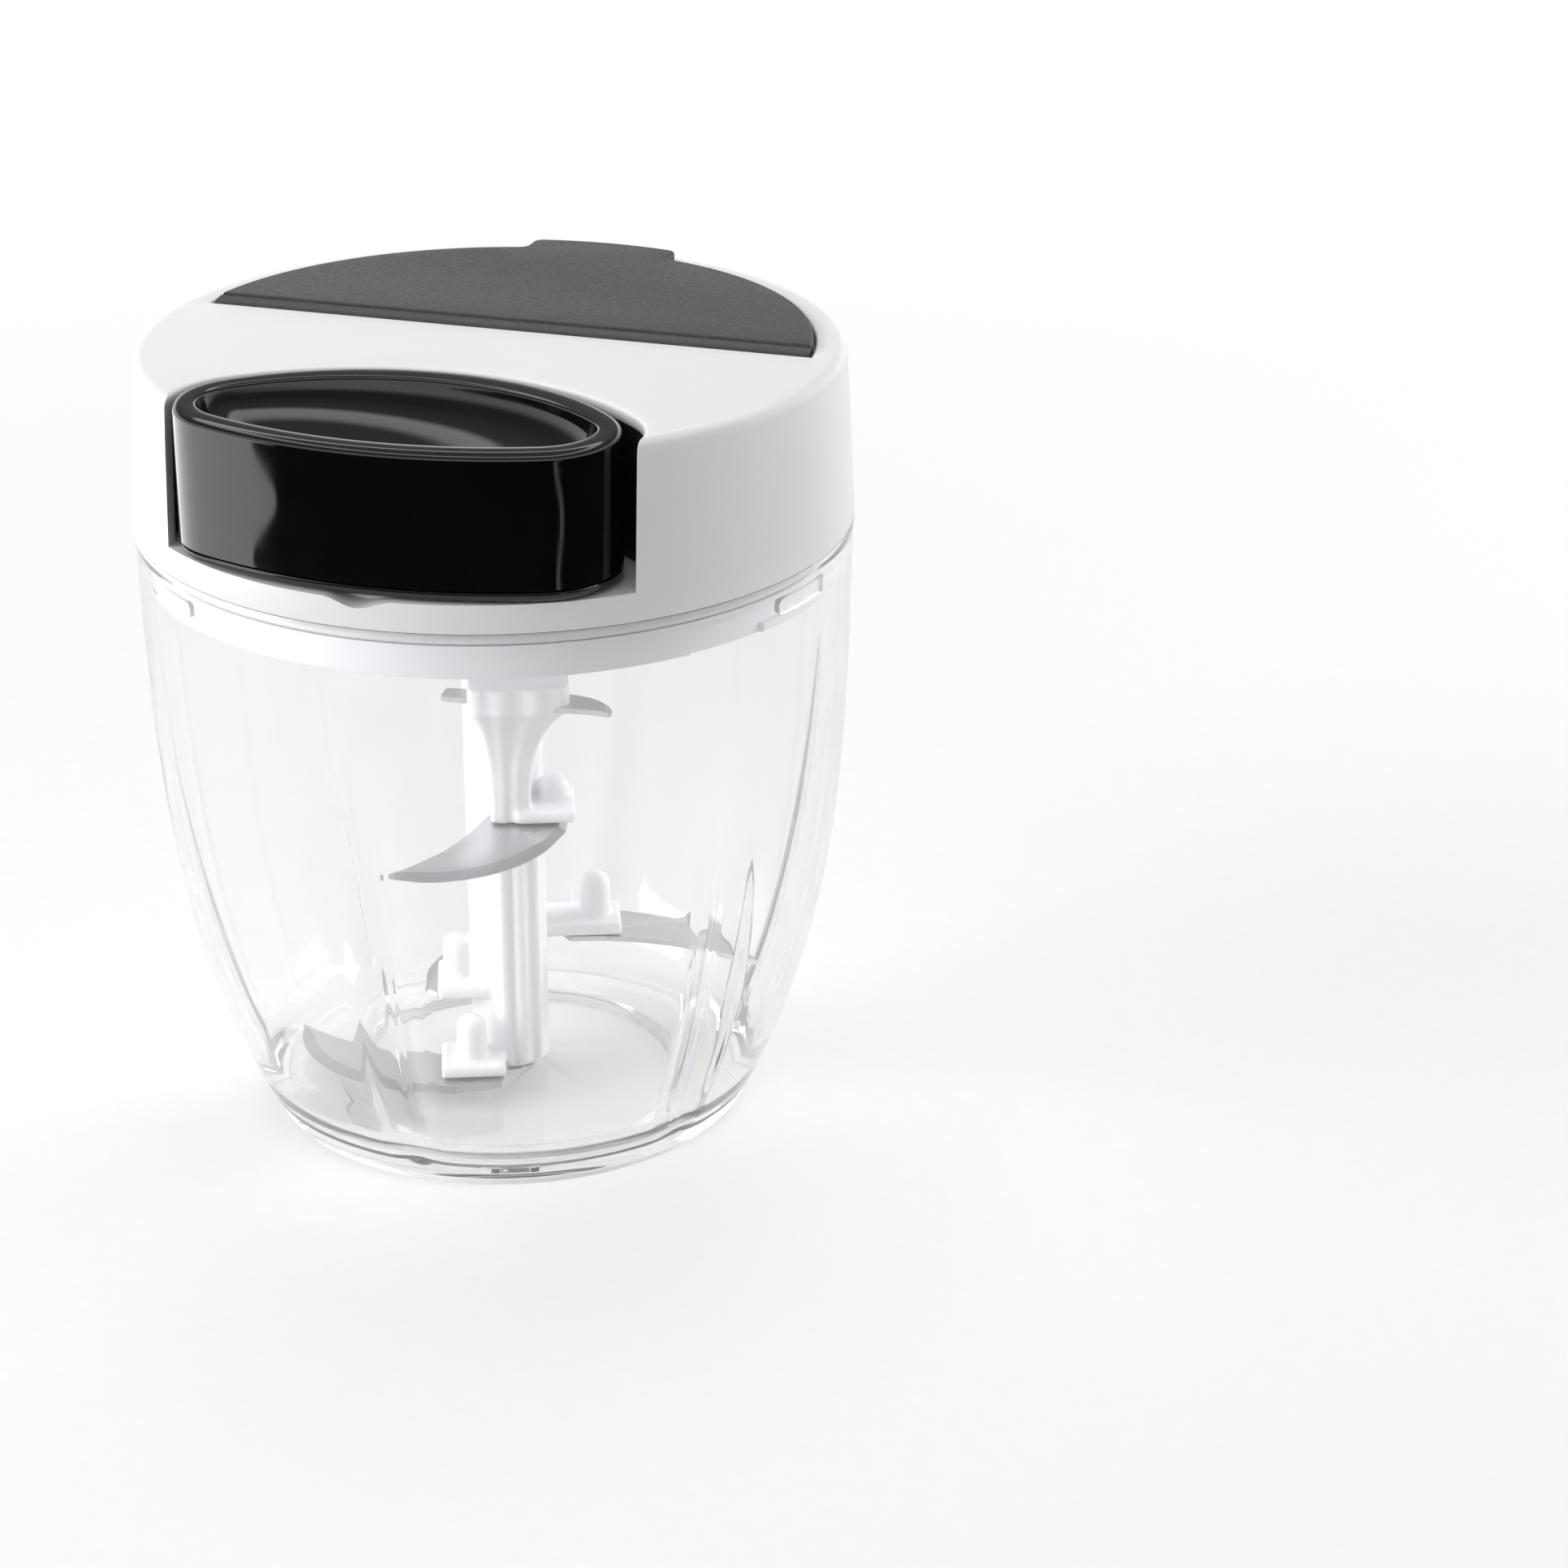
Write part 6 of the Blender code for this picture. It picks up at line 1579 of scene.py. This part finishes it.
    def shaft(self) -> bmesh.types.BMesh:
        """The shaft, web, brackets and pegs as one moulding."""
        bore_top = 31.7 * MM
        bore, edge = 2.8 * MM, 1.0 * MM
        tube_profile = [(bore, self.bottom), (self.radius, self.bottom), (self.radius, self.top - edge),
                        (self.radius - edge, self.top), (0.0, self.top), (0.0, bore_top), (bore, bore_top)]
        shapes = [turned(tube_profile, 64), pulled(hexagon(5.2 * MM), self.top - PAST, self.head_top)]
        for degrees in self.rib_angles:
            foot = polar(self.radius - 0.4 * MM, degrees, self.bottom + 0.6 * MM)
            head = polar(self.radius - 0.4 * MM, degrees, self.level(self.sickles[3]) - 1.1 * MM)
            shapes.append(tube(foot, head, self.rib_radius, 24))
        shapes.append(self.web())
        for bracket in self.brackets:
            under = self.level(self.sickles[bracket.blade]) + self.thickness / 2 + 0.3 * MM
            low = (bracket.low[0] * self.radius, bracket.low[1] * self.radius, under)
            high = (bracket.high[0] * self.radius, bracket.high[1] * self.radius, under + self.pad)
            shapes.append(block(low, high, 0.5 * MM))
            shapes.append(self.peg(bracket, under))
        bm = melted(shapes, self.grain, 3)
        bmesh.ops.rotate(bm, verts=bm.verts[:], cent=(0.0, 0.0, 0.0),
                         matrix=Matrix.Rotation(math.radians(SIZES.shaft_turn), 3, "Z"))
        return bm

    def peg(self, bracket: Bracket, under: float) -> bmesh.types.BMesh:
        """A round peg with a domed top."""
        base = under + self.pad / 2
        top = under + self.pad + bracket.peg_height * self.radius
        radius = self.peg_radius
        dome = radius * 0.75
        profile = [(0.0, base), (radius * 1.05, base), (radius * 0.97, top - dome)]
        for index in range(1, self.peg_steps):
            angle = math.pi / 2 * index / self.peg_steps
            profile.append((radius * 0.97 * math.cos(angle) ** 0.8, top - dome + dome * math.sin(angle)))
        profile.append((0.0, top))
        bm = turned(profile, 40)
        bmesh.ops.translate(bm, verts=bm.verts[:], vec=(bracket.peg[0] * self.radius,
                                                       bracket.peg[1] * self.radius, 0.0))
        return bm

    def build(self, palette: Palette) -> None:
        """Build the shaft and the blades and dress the rivets."""
        add_piece("shaft_moulding", self.shaft(), [palette.soft_white], Body.BLADES, ("blade_shaft",),
                  60.0)
        for number, sickle in enumerate(self.sickles, 1):
            add_piece(f"sickle_{number}", self.blade(sickle), [palette.blade, palette.ground], Body.BLADES,
                      (f"blade_{number}",), 20.0)
        dress(palette.steel, "blade_rivet_1", "blade_rivet_2", "blade_rivet_3", "blade_rivet_4")


# Studio


@dataclass(frozen=True)
class Softbox:
    """A soft area lamp that looks at the object, as bright as a share of plain white there.

    Gloss doesn't show it: the surround's bands stand in for it there.
    """

    name: str
    place: Vector
    size: Tuple[float, float]
    level: float
    aim: Tuple[float, float, float] = (0.0, 0.0, 0.08)

    def build(self) -> bpy.types.Object:
        """Add the lamp."""
        data = bpy.data.lights.new(self.name, "AREA")
        data.shape = "RECTANGLE"
        data.size, data.size_y = self.size
        span = self.place - Vector(self.aim)
        data.energy = self.level * math.pi ** 2 * span.length_squared
        lamp = bpy.data.objects.new(self.name, data)
        lamp.visible_glossy = False
        lamp.location = self.place
        lamp.rotation_euler = (-span).to_track_quat("-Z", "Y").to_euler()
        bpy.context.scene.collection.objects.link(lamp)
        return lamp


@dataclass
class Studio:
    """The camera, the pale floor, the lamps and the white surround."""

    azimuth: float = 21.5
    yaw: float = 4.29
    pitch: float = 23.08
    distance: float = 0.6973
    height: float = 0.3577
    lens: float = 93.17
    floor_size: float = 4.0
    near: float = 0.20
    far: float = 0.55
    floor_lift: float = 0.29
    sky: float = 0.44
    dome: Tuple[Point, Point] = ((0.40, 0.24), (0.65, 0.55))
    bands: Tuple[Point, ...] = ((0.0, 0.44), (0.13, 0.44), (0.28, 0.0), (0.62, 0.0), (0.69, 1.0),
                                (0.76, 0.9), (0.85, 0.0))
    band_level: float = 3.0
    card_near: float = 0.335
    card_far: float = 1.2
    card_wave: float = 3.6
    card_waves: float = 5.5
    card_rows: int = 120
    reflector: float = 1.8

    def camera(self) -> None:
        """Set the camera at the photograph's viewpoint."""
        data = bpy.data.cameras.new("photo_camera")
        data.lens = self.lens
        data.sensor_width = 36.0
        data.clip_start = 0.01
        data.clip_end = 20.0
        obj = bpy.data.objects.new("photo_camera", data)
        turn = math.radians(self.azimuth)
        obj.location = (self.distance * math.sin(turn), -self.distance * math.cos(turn), self.height)
        obj.rotation_euler = (math.radians(90.0 - self.pitch), 0.0,
                              math.radians(self.azimuth - self.yaw))
        bpy.context.scene.collection.objects.link(obj)
        bpy.context.scene.camera = obj

    def floor_material(self) -> bpy.types.Material:
        """A pale matt floor that keeps the shadow near the object and fades to white away from it."""
        tree = Tree("pale_floor")
        paper = tree.shader
        tree.constant(Roughness=0.9, Specular_IOR_Level=0.0)
        grain = tree.ranged(tree.noise(4 * MM, 3.0), 0.0, 1.0)
        tree.link(tree.mixed(grain, (0.63, 0.63, 0.632), (0.62, 0.62, 0.622)),
                  paper.inputs["Base Color"])
        reach = tree.add("ShaderNodeVectorMath", operation="LENGTH")
        tree.link(tree.place, reach.inputs[0])
        away = tree.ranged(reach.outputs["Value"], 0.0, 1.0, self.near, self.far)
        path = tree.add("ShaderNodeLightPath").outputs
        shown = tree.maths("MAXIMUM", path["Is Camera Ray"], path["Is Glossy Ray"])
        shown = tree.maths("MAXIMUM", shown, path["Is Transmission Ray"])
        glow = tree.add("ShaderNodeEmission")
        tree.link(tree.maths("MULTIPLY", shown, self.floor_lift), glow.inputs["Strength"])
        near = tree.add("ShaderNodeAddShader")
        tree.link(paper.outputs[0], near.inputs[0])
        tree.link(glow.outputs[0], near.inputs[1])
        white = tree.add("ShaderNodeEmission")
        blend = tree.add("ShaderNodeMixShader")
        tree.link(tree.maths("MULTIPLY", shown, away), blend.inputs[0])
        tree.link(near.outputs[0], blend.inputs[1])
        tree.link(white.outputs[0], blend.inputs[2])
        tree.link(blend.outputs[0], tree.output.inputs["Surface"])
        return tree.material

    def floor(self) -> None:
        """Lay the floor under the foot ring."""
        bm = bmesh.new()
        bmesh.ops.create_grid(bm, x_segments=8, y_segments=8, size=self.floor_size / 2)
        bmesh.ops.translate(bm, verts=bm.verts[:], vec=(0.0, 0.0, -0.02 * MM))
        floor = holder("studio_floor", bm)
        floor.data.materials.append(self.floor_material())

    def card(self, name: str, left: float, right: float, material: bpy.types.Material) -> None:
        """Lay a fan shaped card on the floor that only reflections see.

        Args:
            name: The card's name.
            left: Its first side, in degrees round the object.
            right: Its other side. Both sides run in slow waves.
            material: Its paper.
        """
        sides = []
        for degrees in (left, right):
            side = []
            for row in range(self.card_rows + 1):
                share = row / self.card_rows
                radius = self.card_near * (self.card_far / self.card_near) ** share
                wave = self.card_wave * math.sin(share * math.tau * self.card_waves)
                side.append(polar(radius, degrees + wave).xy)
            sides.append(side)
        far = arc((0.0, 0.0), self.card_far, left, right, 24)[1:-1]
        near = arc((0.0, 0.0), self.card_near, right, left, 24)[1:-1]
        card = holder(name, pulled(sides[0] + far + sides[1][::-1] + near, 1.0 * MM, 2.0 * MM))
        card.data.materials.append(material)
        card.visible_camera = False
        card.visible_diffuse = False
        card.visible_transmission = False
        card.visible_shadow = False

    def cards(self) -> None:
        """Dark cards in front keep the handle black, bright ones light its ends."""
        dark = Tree("dark_card_paper")
        dark.constant(Roughness=0.95, Specular_IOR_Level=0.0)
        shade = dark.ranged(dark.noise(60 * MM, 2.0), 0.0, 1.0)
        colour = dark.mixed(shade, (0.002, 0.002, 0.002), (0.006, 0.006, 0.006))
        dark.link(colour, dark.shader.inputs["Base Color"])
        bright = Tree("reflector_paper")
        bright.constant(Roughness=0.9)
        bright.constant(Emission_Color=(1.0, 1.0, 1.0, 1.0), Emission_Strength=self.reflector)
        self.card("reflector_left", -232.0, -134.0, bright.material)
        self.card("dark_card_front", -134.0, -47.0, dark.material)
        self.card("dark_card_right", -42.0, 45.0, dark.material)

    def surround(self) -> None:
        """White for the camera and through plastic, a banded dome in gloss, even light elsewhere."""
        world = bpy.data.worlds.new("studio_surround")
        bpy.context.scene.world = world
        world.use_nodes = True
        nodes, links = world.node_tree.nodes, world.node_tree.links
        nodes.clear()
        place = nodes.new("ShaderNodeTexCoord")
        split = nodes.new("ShaderNodeSeparateXYZ")
        links.new(place.outputs["Generated"], split.inputs[0])
        dome = nodes.new("ShaderNodeMapRange")
        for end, (height, level) in zip(("Min", "Max"), self.dome):
            dome.inputs[f"From {end}"].default_value = height
            dome.inputs[f"To {end}"].default_value = level
        links.new(split.outputs["Z"], dome.inputs["Value"])
        bands = nodes.new("ShaderNodeValToRGB")
        bands.color_ramp.interpolation = "EASE"
        ramp = bands.color_ramp.elements
        ramp[0].position, ramp[1].position = self.bands[0][0], self.bands[-1][0]
        for element, (_, level) in ((ramp[0], self.bands[0]), (ramp[1], self.bands[-1])):
            element.color = (level, level, level, 1.0)
        for position, level in self.bands[1:-1]:
            ramp.new(position).color = (level, level, level, 1.0)
        links.new(split.outputs["Z"], bands.inputs[0])
        lit = nodes.new("ShaderNodeMath")
        lit.operation = "MULTIPLY_ADD"
        lit.inputs[1].default_value = self.band_level
        links.new(bands.outputs[0], lit.inputs[0])
        links.new(dome.outputs["Result"], lit.inputs[2])
        path = nodes.new("ShaderNodeLightPath").outputs
        shown = nodes.new("ShaderNodeMath")
        shown.operation = "MAXIMUM"
        links.new(path["Is Camera Ray"], shown.inputs[0])
        links.new(path["Is Transmission Ray"], shown.inputs[1])
        in_gloss, level = nodes.new("ShaderNodeMix"), nodes.new("ShaderNodeMix")
        in_gloss.inputs[2].default_value = self.sky
        links.new(path["Is Glossy Ray"], in_gloss.inputs[0])
        links.new(lit.outputs[0], in_gloss.inputs[3])
        level.inputs[3].default_value = 1.0
        links.new(shown.outputs[0], level.inputs[0])
        links.new(in_gloss.outputs[0], level.inputs[2])
        glow = nodes.new("ShaderNodeBackground")
        glow.inputs["Color"].default_value = (1.0, 1.0, 1.0, 1.0)
        links.new(level.outputs[0], glow.inputs["Strength"])
        output = nodes.new("ShaderNodeOutputWorld")
        links.new(glow.outputs[0], output.inputs["Surface"])

    def lamps(self) -> None:
        """Hang the soft lamps: the key low on the left, one behind on the right, one overhead."""
        for softbox in (
            Softbox("key_softbox", polar(1.2, -145.0, 0.56), (0.8, 0.6), 0.74),
            Softbox("back_softbox", polar(1.1, 40.0, 0.48), (0.7, 0.5), 0.47),
            Softbox("top_softbox", polar(0.40, 105.0, 1.35), (0.6, 0.6), 0.24),
        ):
            softbox.build()

    def build(self) -> None:
        """Set up the studio."""
        self.camera()
        self.floor()
        self.cards()
        self.surround()
        self.lamps()
        bpy.context.scene.view_settings.view_transform = "Standard"
        LOG.info("studio: camera, floor, cards, surround and lamps")


def main() -> None:
    """Build the studio and every assembly, in order."""
    logging.basicConfig(level=logging.INFO, format="%(name)s: %(message)s")
    Studio().build()
    palette = Palette()
    for assembly in (Bowl(), Lid(), Flap(), Handle(), Drive(), BladeSet()):
        assembly.build(palette)
        LOG.info("assembly %s done", type(assembly).__name__)


if __name__ == "__main__":
    main()
